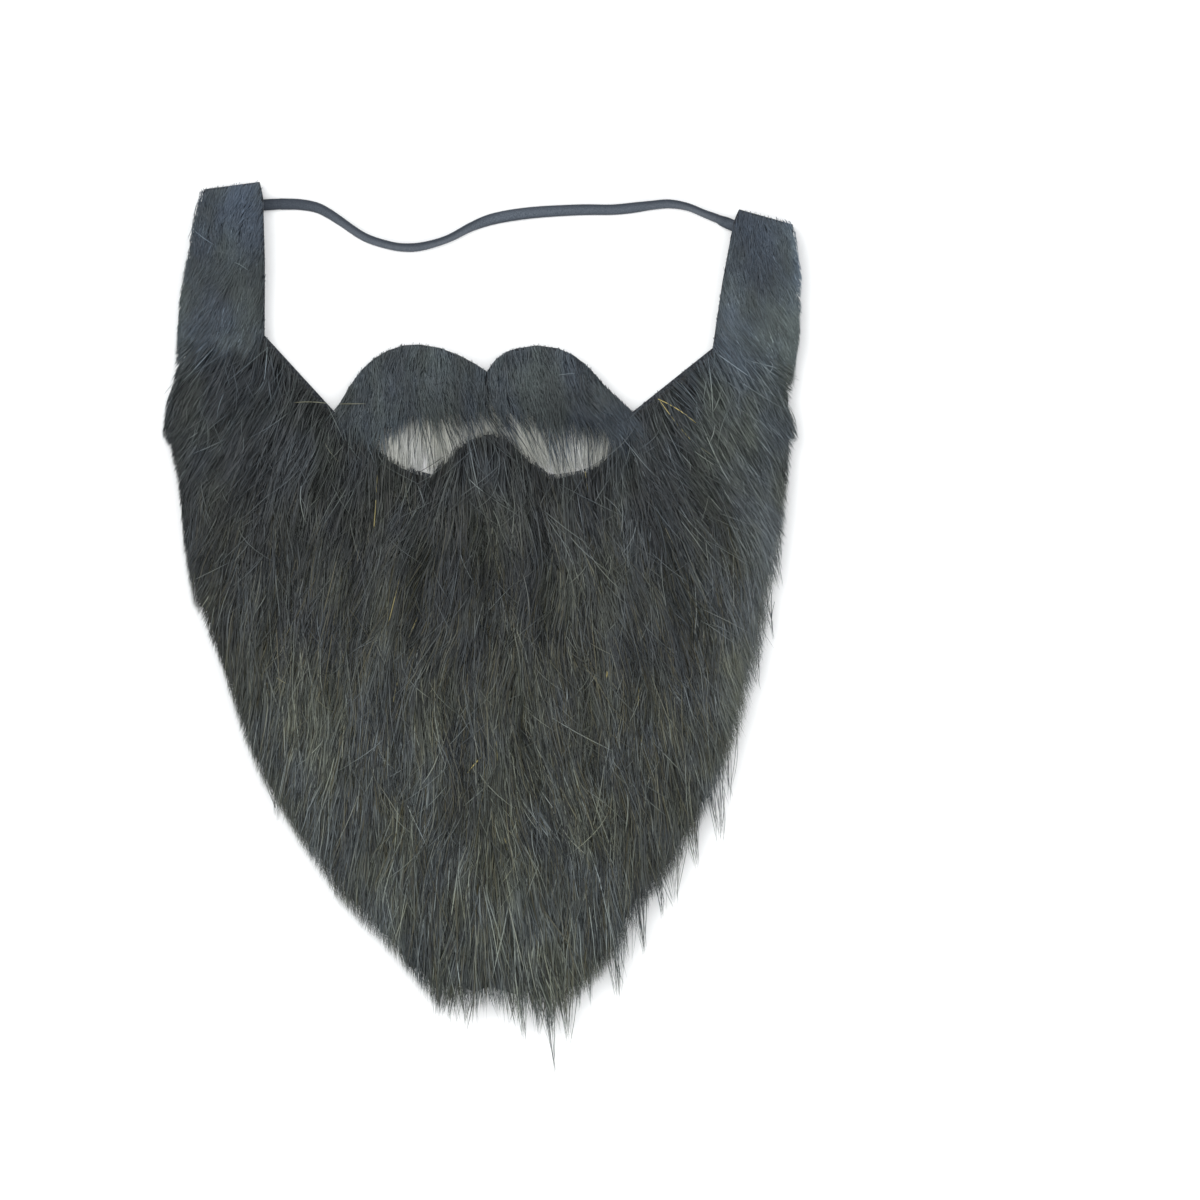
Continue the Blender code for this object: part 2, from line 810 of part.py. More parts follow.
def smooth_route(points, spacing):
    """Points about a spacing apart on a smooth curve through the chosen ones."""
    ends = [points[0] * 2 - points[1], *points, points[-1] * 2 - points[-2]]
    fine = []
    for a, b, c, d in zip(ends, ends[1:], ends[2:], ends[3:]):
        for i in range(8):
            t = i / 8
            bend = (a * 2 - b * 5 + c * 4 - d) * t * t + (b * 3 - a - c * 3 + d) * t**3
            fine.append((b * 2 + (c - a) * t + bend) / 2)
    fine.append(points[-1])
    length = sum((q - p).length for p, q in zip(fine, fine[1:]))
    count = max(2, round(length / spacing))
    route, walked, due = [fine[0]], 0.0, length / count
    for p, q in zip(fine, fine[1:]):
        run = (q - p).length
        while walked + run >= due - 1e-9 and len(route) < count:
            route.append(p + (q - p) * ((due - walked) / run))
            due += length / count
        walked += run
    route.append(points[-1])
    return route


def elastic_heading(side):
    """The direction in which the elastic runs in under a sideburn."""
    dip = ELASTIC_EXIT[side]["dip"]
    return Vector((side * math.cos(dip), -math.sin(dip), 0.0))


def cord_tip(side):
    """The centre of the cord's end face, clear of the sideburn's inner edge."""
    edge = sideburn_point(side, ELASTIC_EXIT[side]["along"], 0.0).to_3d()
    tip = edge - elastic_heading(side) * (ELASTIC_STAND_OFF + ELASTIC_NECK + GAP)
    tip.z = CORD_DIAMETER / 2
    return tip


def cord_route():
    middle = [Vector((x, y, CORD_DIAMETER / 2)) for x, y in CORD_POINTS]
    return [cord_tip(LEFT), *middle, cord_tip(RIGHT)]


def elastic_cord(finish):
    curve = bpy.data.curves.new("elastic_cord", "CURVE")
    curve.dimensions = "3D"
    curve.bevel_depth = CORD_DIAMETER / 2
    curve.bevel_resolution = 2
    curve.use_fill_caps = True
    route = smooth_route(cord_route(), CORD_POINT_SPACING * CORD_DIAMETER)
    spline = curve.splines.new("POLY")
    spline.points.add(len(route) - 1)
    for point, place in zip(spline.points, route):
        point.co = (*place, 1.0)
    curve.materials.append(finish)
    obj = bpy.data.objects.new("elastic_cord", curve)
    PARTS.objects.link(obj)
    return obj


def elastic_end(name, side, finish):
    """The elastic's flattened end: a neck outside the sideburn and a sewn stretch under it."""
    tip, heading = cord_tip(side), elastic_heading(side)
    sideways = Vector((-heading.y, heading.x, 0.0))
    rings = []
    for along, flat in NECK_SECTIONS:
        width = CORD_DIAMETER + (ELASTIC_WIDTH - CORD_DIAMETER) * flat
        height = CORD_DIAMETER + (ELASTIC_THICKNESS - CORD_DIAMETER) * flat
        centre = tip + heading * (along * ELASTIC_NECK + GAP)
        centre.z = height / 2
        rings.append(oval(centre, sideways, width, height))
    sewn = heading * ELASTIC_SEWN_LENGTH
    rings.append([point + sewn for point in rings[-1]])
    made = loft(name, rings, PARTS)
    made.data.materials.append(finish)
    return made


def build():
    fur = material("fur", (0.045, 0.050, 0.052), 0.75)
    nap = material("sideburn_fur", (0.060, 0.072, 0.082), 0.8)
    knit = material("knitted_cloth", (0.028, 0.030, 0.034), 0.9)
    elastic = material("elastic", (0.13, 0.15, 0.17), 0.85)

    cloth = slab("cloth_backing", [cloth_outline(), mouth_outline()], 0.0, CLOTH_THICKNESS, PARTS)
    cloth.data.materials.append(knit)
    drape(cloth)

    for side, word in ((LEFT, "left"), (RIGHT, "right")):
        outline, bounds = sideburn_outline(side), sideburn_territory(side)
        drape(pile(f"sideburn_pile_{word}", outline, bounds, sideburn_locks(side), nap))
        outline, bounds = moustache_outline(side), moustache_territory(side)
        pile(f"moustache_pile_{word}", outline, bounds, moustache_locks(side), nap)
    pile("beard_pile", beard_outline(), beard_territory(), beard_locks(), fur)

    elastic_cord(elastic)
    for side, word in ((LEFT, "left"), (RIGHT, "right")):
        elastic_end(f"elastic_end_{word}", side, elastic)


clear_scene()
PARTS = collection("fake_beard")
build()
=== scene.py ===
import math

import bmesh
import bpy
import numpy as np
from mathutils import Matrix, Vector
from mathutils.bvhtree import BVHTree
from mathutils.kdtree import KDTree


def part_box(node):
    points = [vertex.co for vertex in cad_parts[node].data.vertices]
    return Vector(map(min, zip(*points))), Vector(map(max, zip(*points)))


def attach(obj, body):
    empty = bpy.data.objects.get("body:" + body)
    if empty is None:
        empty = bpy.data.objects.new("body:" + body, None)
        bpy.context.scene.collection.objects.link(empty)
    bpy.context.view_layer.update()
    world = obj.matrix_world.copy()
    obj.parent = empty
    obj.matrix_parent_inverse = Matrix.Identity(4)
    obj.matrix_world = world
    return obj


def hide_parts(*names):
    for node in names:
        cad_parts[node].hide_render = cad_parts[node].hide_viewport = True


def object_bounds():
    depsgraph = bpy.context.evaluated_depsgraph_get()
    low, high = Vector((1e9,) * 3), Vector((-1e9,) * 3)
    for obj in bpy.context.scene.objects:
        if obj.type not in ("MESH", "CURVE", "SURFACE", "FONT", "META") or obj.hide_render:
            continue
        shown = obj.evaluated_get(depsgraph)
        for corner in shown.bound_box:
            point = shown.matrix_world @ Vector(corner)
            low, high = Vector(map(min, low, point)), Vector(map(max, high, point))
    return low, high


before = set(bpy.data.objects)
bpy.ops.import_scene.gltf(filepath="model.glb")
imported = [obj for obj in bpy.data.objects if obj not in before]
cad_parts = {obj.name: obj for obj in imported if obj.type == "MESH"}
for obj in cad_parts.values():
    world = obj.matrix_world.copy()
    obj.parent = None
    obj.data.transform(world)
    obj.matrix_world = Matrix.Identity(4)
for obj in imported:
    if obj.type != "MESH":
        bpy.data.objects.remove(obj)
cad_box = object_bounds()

# Lengths are in metres. The fake beard lies on the table with its fur up, its tips towards -Y.
rad = math.radians
SEED = 11
chance = np.random.default_rng(SEED)

# The photograph's frame, seen from straight above
PHOTO_SIZE = 1200
PIXEL = 0.0003584
FRAME_CENTRE = (0.0418, 0.0047)
CAMERA_HEIGHT = 2.2
SENSOR_WIDTH = 0.036
FUR_MIDDLE = 0.006

# The elastic's route on the table, as the solids have it
ELASTIC_POINTS = [
    (-0.0730, 0.1468),
    (-0.0660, 0.1466),
    (-0.0600, 0.1455),
    (-0.0557, 0.1434),
    (-0.0514, 0.1406),
    (-0.0428, 0.1349),
    (-0.0342, 0.1320),
    (-0.0278, 0.1311),
    (-0.0213, 0.1317),
    (-0.0127, 0.1343),
    (-0.0041, 0.1387),
    (0.0045, 0.1417),
    (0.0174, 0.1437),
    (0.0346, 0.1447),
    (0.0475, 0.1448),
    (0.0604, 0.1463),
    (0.0668, 0.1468),
    (0.0733, 0.1457),
    (0.0790, 0.1434),
    (0.0837, 0.1416),
]
ELASTIC_WIDTH = 0.0042
ELASTIC_SHIFT = 0.00015
ELASTIC_THICKNESS = 0.0014
ELASTIC_SECTION = 0.0004
ELASTIC_SIDES = 24
# How the elastic turns over on its way. column: pixels of the photograph. roll: 0 lies flat.
ELASTIC_ROLLS = [
    (271, rad(16)),
    (316, rad(36)),
    (346, rad(52)),
    (395, rad(55)),
    (412, rad(51)),
    (441, rad(62)),
    (461, rad(56)),
    (474, rad(46)),
    (488, rad(24)),
    (513, rad(4)),
    (554, rad(22)),
    (607, rad(35)),
    (631, rad(33)),
    (650, rad(48)),
    (667, rad(48)),
    (690, rad(62)),
    (707, rad(60)),
    (726, rad(40)),
]
BRAID_PITCH = 0.0011
BRAID_RELIEF = 0.00008
GROOVE_DEPTH = 0.00008
TAB_NECK = 0.0053
TAB_LENGTH = 0.0190
TAB_OVERLAP = 0.0012
TAB_SHRINK = 0.97
TAB_THICKNESS = 0.0013
TAB_HEADINGS = {"left": rad(183), "right": rad(-23)}

# Grids that hold the fur's height and reach
CELL = 0.001
GRID_MARGIN = 0.020
# The radius that each is smoothed over; the wide one carries the height past the edge
HEIGHT_BLUR = 0.0022
WIDE_BLUR = 0.008
REACH_BLUR = 0.0028
SLOPE_BLUR = 0.005

# Points along a ribbon hair of the beard, and of the short fur
HAIR_POINTS = 7
NAP_POINTS = 5
# Hairs are cut from lines combed in fine steps, of these lengths for long and short fur
FINE_STEPS = 28
LONGEST_HAIR = 0.075
LONGEST_NAP = 0.034
# What is left shorter than this after the cut is left out
SHORTEST_HAIR = 0.0025
LOWEST_HAIR = 0.0005
# How far roots stray by chance, and how far they lie past the fur's rim
ROOT_SCATTER = 0.0002
RIM_SPILL = 0.0004
# Hairs end at a cut edge where the reach falls to this, this far or more inside the outline
BARE_REACH = 0.45
CUT_EDGE_ROOM = 0.010
# How hairs gather. spacing: between clumps. pull: how much a clump's hairs close up towards
# the tip. turn: how much a clump's lean varies. sway: how much each hair bends to a side.
CLUMPS = {
    "beard": (0.0045, 0.72, rad(6), 0.09),
    "crossing": (0.006, 0.3, rad(14), 0.40),
    "moustache": (0.004, 0.4, rad(5), 0.09),
    "sideburn": (0.004, 0.3, rad(5), 0.12),
}
# The thinnest and the thickest hairs of each kind
HAIR_WIDTHS = {
    "beard": (0.00022, 0.00040),
    "moustache": (0.00020, 0.00032),
    "veil_and_painted_shade": (0.00020, 0.00040),
    "strands": (0.00018, 0.00034),
    "sideburn": (0.00016, 0.00024),
    "wisps": (0.00014, 0.00026),
}
# The solids' doubled corners lie closer than this
WELD_DISTANCE = 1e-6


def shade(red, green, blue):
    """A colour named by its values from 0 to 255 as a picture holds them."""
    linear = [((c / 255 + 0.055) / 1.055) ** 2.4 for c in (red, green, blue)]
    return (*linear, 1.0)


def ease(share):
    """A smooth step from 0 to 1."""
    share = np.clip(share, 0.0, 1.0)
    return share * share * (3 - 2 * share)


def at_pixel(column, row):
    """The place on the table that the photograph shows at a pixel."""
    across, down = column - PHOTO_SIZE / 2, row - PHOTO_SIZE / 2
    return FRAME_CENTRE[0] + across * PIXEL, FRAME_CENTRE[1] - down * PIXEL


# Camera


def make_camera():
    data = bpy.data.cameras.new("camera")
    data.sensor_width = SENSOR_WIDTH * 1000
    reach = CAMERA_HEIGHT - FUR_MIDDLE
    data.lens = data.sensor_width * reach / (PHOTO_SIZE * PIXEL)
    data.clip_end = 100
    camera = bpy.data.objects.new("camera", data)
    camera.location = (*FRAME_CENTRE, CAMERA_HEIGHT)
    bpy.context.scene.collection.objects.link(camera)
    bpy.context.scene.camera = camera


# Materials


def new_material(name, roughness, specular=0.3, sheen=0.0):
    """A material, its node tree and its shader, whose constants are set on the shader."""
    material = bpy.data.materials.new(name)
    material.use_nodes = True
    tree = material.node_tree
    shader = tree.nodes["Principled BSDF"]
    shader.inputs["Roughness"].default_value = roughness
    shader.inputs["Specular IOR Level"].default_value = specular
    shader.inputs["Sheen Weight"].default_value = sheen
    return material, tree, shader


def add_node(tree, kind, links=(), **values):
    """A node with its properties set; links maps its input names to sockets or numbers."""
    node = tree.nodes.new(kind)
    for key, value in values.items():
        setattr(node, key, value)
    for key, value in dict(links).items():
        if isinstance(value, bpy.types.NodeSocket):
            tree.links.new(value, node.inputs[key])
        else:
            node.inputs[key].default_value = value
    return node


def add_math(tree, operation, *values):
    return add_node(tree, "ShaderNodeMath", enumerate(values), operation=operation).outputs[0]


def add_ramp(tree, factor, stops):
    """A colour for each factor, from stops of (position, colour)."""
    node = add_node(tree, "ShaderNodeValToRGB", {"Fac": factor})
    elements = node.color_ramp.elements
    while len(elements) < len(stops):
        elements.new(0.5)
    while len(elements) > len(stops):
        elements.remove(elements[-1])
    for element, (position, colour) in zip(elements, stops):
        element.position = position
        element.color = colour
    return node.outputs["Color"]


def add_mix(tree, factor, first, second, blend="MIX"):
    node = add_node(tree, "ShaderNodeMix", data_type="RGBA", blend_type=blend)
    for index, value in ((0, factor), (6, first), (7, second)):
        if isinstance(value, bpy.types.NodeSocket):
            tree.links.new(value, node.inputs[index])
        else:
            node.inputs[index].default_value = value
    return node.outputs[2]


def place_of(tree, scale):
    """The place on the piece in metres, stretched by scale along each axis."""
    place = add_node(tree, "ShaderNodeTexCoord").outputs["Object"]
    return add_node(tree, "ShaderNodeMapping", {"Vector": place, "Scale": scale}).outputs[0]


def add_noise(tree, scale, detail=3.0):
    vector = place_of(tree, scale)
    links = {"Vector": vector, "Scale": 1.0, "Detail": detail}
    return add_node(tree, "ShaderNodeTexNoise", links).outputs["Fac"]


def add_bump(tree, shader, height, strength, distance):
    links = {"Height": height, "Strength": strength, "Distance": distance}
    bump = add_node(tree, "ShaderNodeBump", links)
    tree.links.new(bump.outputs["Normal"], shader.inputs["Normal"])


def attribute(tree, name):
    return add_node(tree, "ShaderNodeAttribute", attribute_name=name).outputs["Fac"]


def hair_material(name, tones, tints, patchy=1.0):
    """Synthetic hair: each hair has its tone, and the fur's tint changes up the beard."""
    material, tree, shader = new_material(name, 0.46, 0.42, 0.06)
    patches = add_noise(tree, (70, 28, 40), 4.0)
    tone = add_math(tree, "MULTIPLY_ADD", patches, 0.5, attribute(tree, "tone"))
    shifted = add_math(tree, "SUBTRACT", tone, 0.25)
    colour = add_ramp(tree, shifted, tones)
    up = add_node(tree, "ShaderNodeSeparateXYZ", {"Vector": place_of(tree, (1, 1, 1))}).outputs["Y"]
    height = add_node(tree, "ShaderNodeMapRange", {"Value": up, "From Min": -0.15, "From Max": 0.15})
    tint = add_ramp(tree, height.outputs[0], tints)
    colour = add_mix(tree, 1.0, colour, tint, "MULTIPLY")
    casts = [(0.38, (0.94, 0.98, 1.07, 1.0)), (0.62, (1.06, 1.05, 0.90, 1.0))]
    cast = add_ramp(tree, add_noise(tree, (75, 40, 40), 3.0), casts)
    colour = add_mix(tree, patchy, colour, cast, "MULTIPLY")
    colour = add_mix(tree, attribute(tree, "gold"), colour, shade(166, 152, 92))
    tree.links.new(colour, shader.inputs["Base Color"])
    roughness = add_noise(tree, (900, 90, 300), 2.0)
    rough = add_node(
        tree, "ShaderNodeMapRange", {"Value": roughness, "To Min": 0.36, "To Max": 0.62}
    )
    tree.links.new(rough.outputs[0], shader.inputs["Roughness"])
    return material


def undercoat_material(name, dark, light):
    """Dense fur seen between the hairs: fine streaks along its lie."""
    material, tree, shader = new_material(name, 0.8, 0.2, 0.05)
    streaks = add_noise(tree, (1500, 110, 260), 5.0)
    colour = add_ramp(tree, streaks, [(0.3, dark), (0.72, light)])
    tree.links.new(colour, shader.inputs["Base Color"])
    add_bump(tree, shader, streaks, 0.9, 0.0012)
    return material


def knit_material():
    """Jersey backing: rows of small loops."""
    material, tree, shader = new_material("knit", 0.9, 0.15, 0.25)
    place = place_of(tree, (1, 1, 1))
    waves = []
    for direction, scale, distortion, detail in (("X", 260.0, 1.2, 2.0), ("Y", 200.0, 2.0, 3.0)):
        links = {"Vector": place, "Scale": scale, "Distortion": distortion, "Detail Scale": detail}
        wave = add_node(tree, "ShaderNodeTexWave", links, bands_direction=direction)
        waves.append(wave.outputs["Fac"])
    loops = add_math(tree, "MULTIPLY", *waves)
    wear = add_noise(tree, (60, 60, 60), 4.0)
    blend = add_math(tree, "MULTIPLY", loops, wear)
    colour = add_ramp(tree, blend, [(0.0, shade(46, 49, 54)), (0.7, shade(78, 82, 89))])
    tree.links.new(colour, shader.inputs["Base Color"])
    add_bump(tree, shader, loops, 0.8, 0.0004)
    return material


def elastic_material():
    """Braided elastic: slate grey yarn with a slight sheen."""
    material, tree, shader = new_material("elastic", 0.72, 0.25, 0.2)
    yarn = add_noise(tree, (2600, 2600, 2600), 3.0)
    colour = add_ramp(tree, yarn, [(0.3, shade(60, 68, 78)), (0.75, shade(98, 105, 114))])
    # Painted shade: the yarn darkens to this slate colour at the band's rounded edges. It also darkens
    # towards the elastic's left end.
    colour = add_mix(tree, attribute(tree, "painted_rim_shade_and_dark_end"), colour, shade(36, 42, 51))
    tree.links.new(colour, shader.inputs["Base Color"])
    add_bump(tree, shader, yarn, 0.5, 0.0002)
    return material


# Pieces


def place_piece(obj, slot, *nodes):
    """Fixes a piece to the part, in the place of the solids that it stands for."""
    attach(obj, "root")
    if nodes:
        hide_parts(*nodes)
    return obj


def mesh_object(name, mesh, material):
    mesh.materials.clear()
    mesh.materials.append(material)
    obj = bpy.data.objects.new(name, mesh)
    bpy.context.scene.collection.objects.link(obj)
    return obj


def skin(name, rings, material):
    """A closed mesh through rings of points, (sections, sides, 3), with fans as its ends."""
    sections, sides, _ = rings.shape
    middles = [rings[0].mean(0), rings[-1].mean(0)]
    points = [*rings.reshape(-1, 3), *middles]
    faces = []
    for i in range(sections - 1):
        for j in range(sides):
            k = (j + 1) % sides
            faces.append((i * sides + j, i * sides + k, (i + 1) * sides + k, (i + 1) * sides + j))
    first, last = len(points) - 2, len(points) - 1
    for j in range(sides):
        k = (j + 1) % sides
        faces.append((first, k, j))
        faces.append((last, (sections - 1) * sides + j, (sections - 1) * sides + k))
    mesh = bpy.data.meshes.new(name)
    mesh.from_pydata(points, [], faces)
    shell = bmesh.new()
    shell.from_mesh(mesh)
    bmesh.ops.recalc_face_normals(shell, faces=shell.faces)
    shell.to_mesh(mesh)
    shell.free()
    mesh.shade_smooth()
    return mesh_object(name, mesh, material)


# Elastic


def smooth_route(points, spacing):
    """Points a spacing apart on a smooth curve through the chosen ones."""
    points = np.array(points)
    ends = np.vstack([2 * points[0] - points[1], points, 2 * points[-1] - points[-2]])
    fine = []
    for a, b, c, d in zip(ends, ends[1:], ends[2:], ends[3:]):
        for t in np.arange(8) / 8:
            bend = (2 * a - 5 * b + 4 * c - d) * t**2 + (3 * b - a - 3 * c + d) * t**3
            fine.append((2 * b + (c - a) * t + bend) / 2)
    fine = np.array([*fine, points[-1]])
    walked = np.concatenate([[0], np.cumsum(np.linalg.norm(np.diff(fine, axis=0), axis=1))])
    due = np.linspace(0, walked[-1], round(walked[-1] / spacing) + 1)
    return np.stack([np.interp(due, walked, fine[:, i]) for i in range(fine.shape[1])], 1)


def flat_section(width, thickness, sides):
    """Points round a flat band with round edges and a groove down its middle: across, up."""
    turn = 2 * np.pi * np.arange(sides) / sides
    across = np.sign(np.cos(turn)) * np.abs(np.cos(turn)) ** 0.8 * width / 2
    up = np.sign(np.sin(turn)) * np.abs(np.sin(turn)) ** 0.7 * thickness / 2
    groove = GROOVE_DEPTH * np.exp(-((across / width * 7) ** 2))
    return across, up - np.sign(up) * groove


def band(name, route, rolls, width, thickness, material):
    """A flat braided band along a route, turned over by rolls and lying on the table."""
    ahead = np.gradient(route, axis=0)
    ahead /= np.linalg.norm(ahead, axis=1)[:, None]
    sideways = np.stack([-ahead[:, 1], ahead[:, 0], np.zeros(len(route))], 1)
    sideways /= np.linalg.norm(sideways, axis=1)[:, None]
    upwards = np.cross(ahead, sideways)
    across, up = flat_section(width, thickness, ELASTIC_SIDES)
    cos, sin = np.cos(rolls)[:, None], np.sin(rolls)[:, None]
    run = np.arange(len(route))[:, None] * ELASTIC_SECTION
    slant = np.abs(across)[None] * 0.9
    weave = np.sin(2 * np.pi * (run + slant) / BRAID_PITCH) * BRAID_RELIEF
    lift = up[None] * (1 + weave / (thickness / 2))
    side = across[None] * cos - lift * sin
    rise = across[None] * sin + lift * cos
    rings = route[:, None] + sideways[:, None] * side[..., None] + upwards[:, None] * rise[..., None]
    made = skin(name, rings, material)
    # Painted shade: the band darkens towards its rounded edges, which leaves a lighter stripe down its
    # middle
    rim = 0.95 * np.abs(across / width * 2) ** 2
    # Darker towards the elastic's left end
    painted_rim_shade_and_dark_end = 0.6 * ease((-0.035 - route[:, 0]) / 0.045)
    values = 1 - (1 - rim[None]) * (1 - painted_rim_shade_and_dark_end[:, None])
    values = np.concatenate([values.ravel(), [0, 0]])
    made.data.attributes.new("painted_rim_shade_and_dark_end", "FLOAT", "POINT").data.foreach_set("value", values)
    return made


def half_height(rolls, width, thickness):
    """How high the middle of a turned band lies when its lowest edge touches the table."""
    return np.hypot(width / 2 * np.sin(rolls), thickness / 2 * np.cos(rolls))


def make_elastic(material):
    flat = smooth_route(ELASTIC_POINTS, ELASTIC_SECTION) + (0, ELASTIC_SHIFT)
    stops, turns = zip(*ELASTIC_ROLLS)
    coarse = np.interp(flat[:, 0], [at_pixel(column, 0)[0] for column in stops], turns)
    softening = np.hanning(len(flat) // 20)
    padded = np.pad(coarse, len(softening), mode="edge")
    rolls = np.convolve(padded, softening / softening.sum(), "same")[len(softening):-len(softening)]
    level = half_height(rolls, ELASTIC_WIDTH, ELASTIC_THICKNESS)
    route = np.column_stack([flat, level])
    made = band("elastic_band", route, rolls, ELASTIC_WIDTH, ELASTIC_THICKNESS, material)
    place_piece(made, "elastic", "elastic_cord")
    for word, start, roll in (("left", route[0], rolls[0]), ("right", route[-1], rolls[-1])):
        make_tab(word, start, roll, material)


def make_tab(word, start, roll, material):
    """The end of the elastic, flattened where it is sewn under a sideburn."""
    turn = TAB_HEADINGS[word]
    heading = np.array([math.cos(turn), math.sin(turn)])
    count = round(TAB_LENGTH / ELASTIC_SECTION)
    run = np.linspace(-TAB_OVERLAP, TAB_LENGTH, count)
    flatness = ease(run / TAB_NECK)
    rolls = roll * (1 - flatness)
    # The left tab runs against the elastic's own way, so it turns over the other way
    if word == "left":
        rolls = -rolls
    thickness = ELASTIC_THICKNESS + (TAB_THICKNESS - ELASTIC_THICKNESS) * flatness
    level = half_height(rolls, ELASTIC_WIDTH, thickness)
    level += (start[2] - level[0]) * (1 - flatness)
    route = np.column_stack([start[:2] + run[:, None] * heading, level])
    width = ELASTIC_WIDTH * TAB_SHRINK
    made = band(f"elastic_tab_{word}", route, rolls, width, TAB_THICKNESS, material)
    place_piece(made, "elastic", f"elastic_end_{word}")


# Fur: what the solids say of its height and reach


def tree_of(*names):
    """A search tree of the faces of solids."""
    points, faces = [], []
    for name in names:
        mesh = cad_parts[name].data
        start = len(points)
        points += [vert.co.copy() for vert in mesh.vertices]
        faces += [[start + i for i in face.vertices] for face in mesh.polygons]
    return BVHTree.FromPolygons(points, faces)


def top_of(tree, x, y):
    """The height of the solids' upper side at a place, or None beside them."""
    hit = tree.ray_cast(Vector((x, y, 0.1)), Vector((0, 0, -1)))
    return None if hit[0] is None else hit[0].z


class Grid:
    """Numbers held for cells of the table, read between the cells."""

    low = np.array(cad_box[0][:2]) - GRID_MARGIN
    shape = tuple(np.ceil((np.array(cad_box[1][:2]) + GRID_MARGIN - low) / CELL).astype(int) + 1)

    def __init__(self, values):
        self.values = values

    @classmethod
    def cells(cls):
        for i in range(cls.shape[0]):
            for j in range(cls.shape[1]):
                yield i, j, cls.low[0] + i * CELL, cls.low[1] + j * CELL

    def at(self, places):
        """Values at places, an array whose last axis is x, y."""
        cell = (places - self.low) / CELL
        cell = np.clip(cell, 0, np.array(self.shape) - 1.001)
        first = cell.astype(int)
        part = cell - first
        i, j = first[..., 0], first[..., 1]
        s, t = part[..., 0], part[..., 1]
        v = self.values
        lower = v[i, j] * (1 - s) + v[i + 1, j] * s
        upper = v[i, j + 1] * (1 - s) + v[i + 1, j + 1] * s
        return lower * (1 - t) + upper * t


def blurred(values, radius):
    """Values of a grid smoothed over a radius."""
    waves = [np.fft.fftfreq(n, CELL) for n in values.shape]
    damping = np.exp(-2 * (np.pi * radius) ** 2 * (waves[0][:, None] ** 2 + waves[1][None] ** 2))
    return np.fft.ifft2(np.fft.fft2(values) * damping).real


PILES = [
    "beard_pile",
    "moustache_pile_left",
    "moustache_pile_right",
    "sideburn_pile_left",
    "sideburn_pile_right",
]


def survey():
    """Grids of the fur's height, of its reach, 1 inside and a half at its edge, and of its slopes."""
    tree = tree_of(*PILES)
    height, inside = np.zeros(Grid.shape), np.zeros(Grid.shape)
    for i, j, x, y in Grid.cells():
        top = top_of(tree, x, y)
        if top is not None:
            height[i, j], inside[i, j] = top, 1.0
    near = blurred(inside, HEIGHT_BLUR)
    smooth = blurred(height * inside, HEIGHT_BLUR) / np.maximum(near, 1e-3)
    wide = blurred(height * inside, WIDE_BLUR) / np.maximum(blurred(inside, WIDE_BLUR), 1e-6)
    sure = ease(near * 4)
    slopes = np.gradient(blurred(inside, SLOPE_BLUR), CELL)
    return (
        Grid(smooth * sure + wide * (1 - sure)),
        Grid(blurred(inside, REACH_BLUR)),
        [Grid(slope) for slope in slopes],
    )


# The fur's outer edge in the photograph. row: down the picture. left, right: pixels across.
OUTLINE = [
    (180, 201, 790),
    (195, 200, 791),
    (215, 194, 793),
    (235, 190, 795),
    (255, 187, 798),
    (275, 184, 802),
    (305, 180, 800),
    (335, 178, 797),
    (365, 177, 795),
    (385, 174, 792),
    (405, 167, 791),
    (425, 165, 794),
    (435, 164, 797),
    (445, 172, 791),
    (475, 179, 787),
    (540, 185, 783),
    (580, 191, 778),
    (600, 194, 770),
    (620, 206, 769),
    (660, 220, 761),
    (700, 234, 749),
    (740, 246, 738),
    (780, 263, 725),
    (820, 288, 702),
    (860, 313, 684),
    (900, 339, 650),
    (940, 380, 629),
    (980, 416, 597),
    (1000, 432, 574),
    (1040, 470, 560),
]
EDGES = np.array([(-at_pixel(0, row)[1], *(at_pixel(c, 0)[0] for c in ends)) for row, *ends in OUTLINE])
# Where the dense fur ends at the tip, measured down from the middle, and its fringe
FRINGE_TOP = 0.1405
FRINGE_DEPTH = 0.0135


def room_at(places):
    """How far inside the fur's outer edge places lie, from the left and from the right."""
    down = -places[..., 1]
    left = places[..., 0] - np.interp(down, EDGES[:, 0], EDGES[:, 1])
    right = np.interp(down, EDGES[:, 0], EDGES[:, 2]) - places[..., 0]
    return left, right


def stops_for(places, kin):
    """Where hairs that end near places stop: room on the left and the right, and how low."""
    count = len(places)
    low = ease((-places[:, 1] - 0.10) / 0.03)
    left = chance.normal(-0.0003, 0.0003, count) + 0.0004 * kin * low
    hazy = 0.0012 + 0.0030 * ease((0.065 - places[:, 1]) / 0.02) * (1 - low)
    right = hazy * chance.uniform(0, 1, count) ** 1.4 + 0.0006 * kin - 0.0004
    down = FRINGE_TOP + FRINGE_DEPTH * chance.uniform(0, 1, count) ** 1.5 + 0.0012 * kin
    return left, right, down


def inward_at(places):
    """The direction into the fur at places, and how near its edge they are: 1 at the edge."""
    inwards = np.stack([slope.at(places) for slope in INWARDS], -1)
    steepness = np.linalg.norm(inwards, axis=-1)
    return inwards / np.maximum(steepness, 1e-6)[..., None], ease(steepness / 60)


def ripple(radius):
    """Smooth chance numbers over the table, mostly from -2 to 2, that change over a radius."""
    values = blurred(chance.normal(0, 1, Grid.shape), radius)
    return Grid(values / values.std())


# How the hair lies: its lean from straight down, positive to the right


def beard_lean(places):
    x, y = places[..., 0], places[..., 1]
    spread = rad(5) + rad(16) * ease((y + 0.075) / 0.12)
    left_cheek = rad(12) * ease((-0.060 - x) / 0.03) * ease((y - 0.03) / 0.03)
    right_cheek = rad(17) * ease((x - 0.050) / 0.03) * ease((y - 0.015) / 0.04)
    return rad(2.5) + spread * x / np.hypot(x, 0.05) - left_cheek + right_cheek


def moustache_lean(places):
    x = places[..., 0]
    return rad(6) + rad(19) * x / np.hypot(x, 0.03)


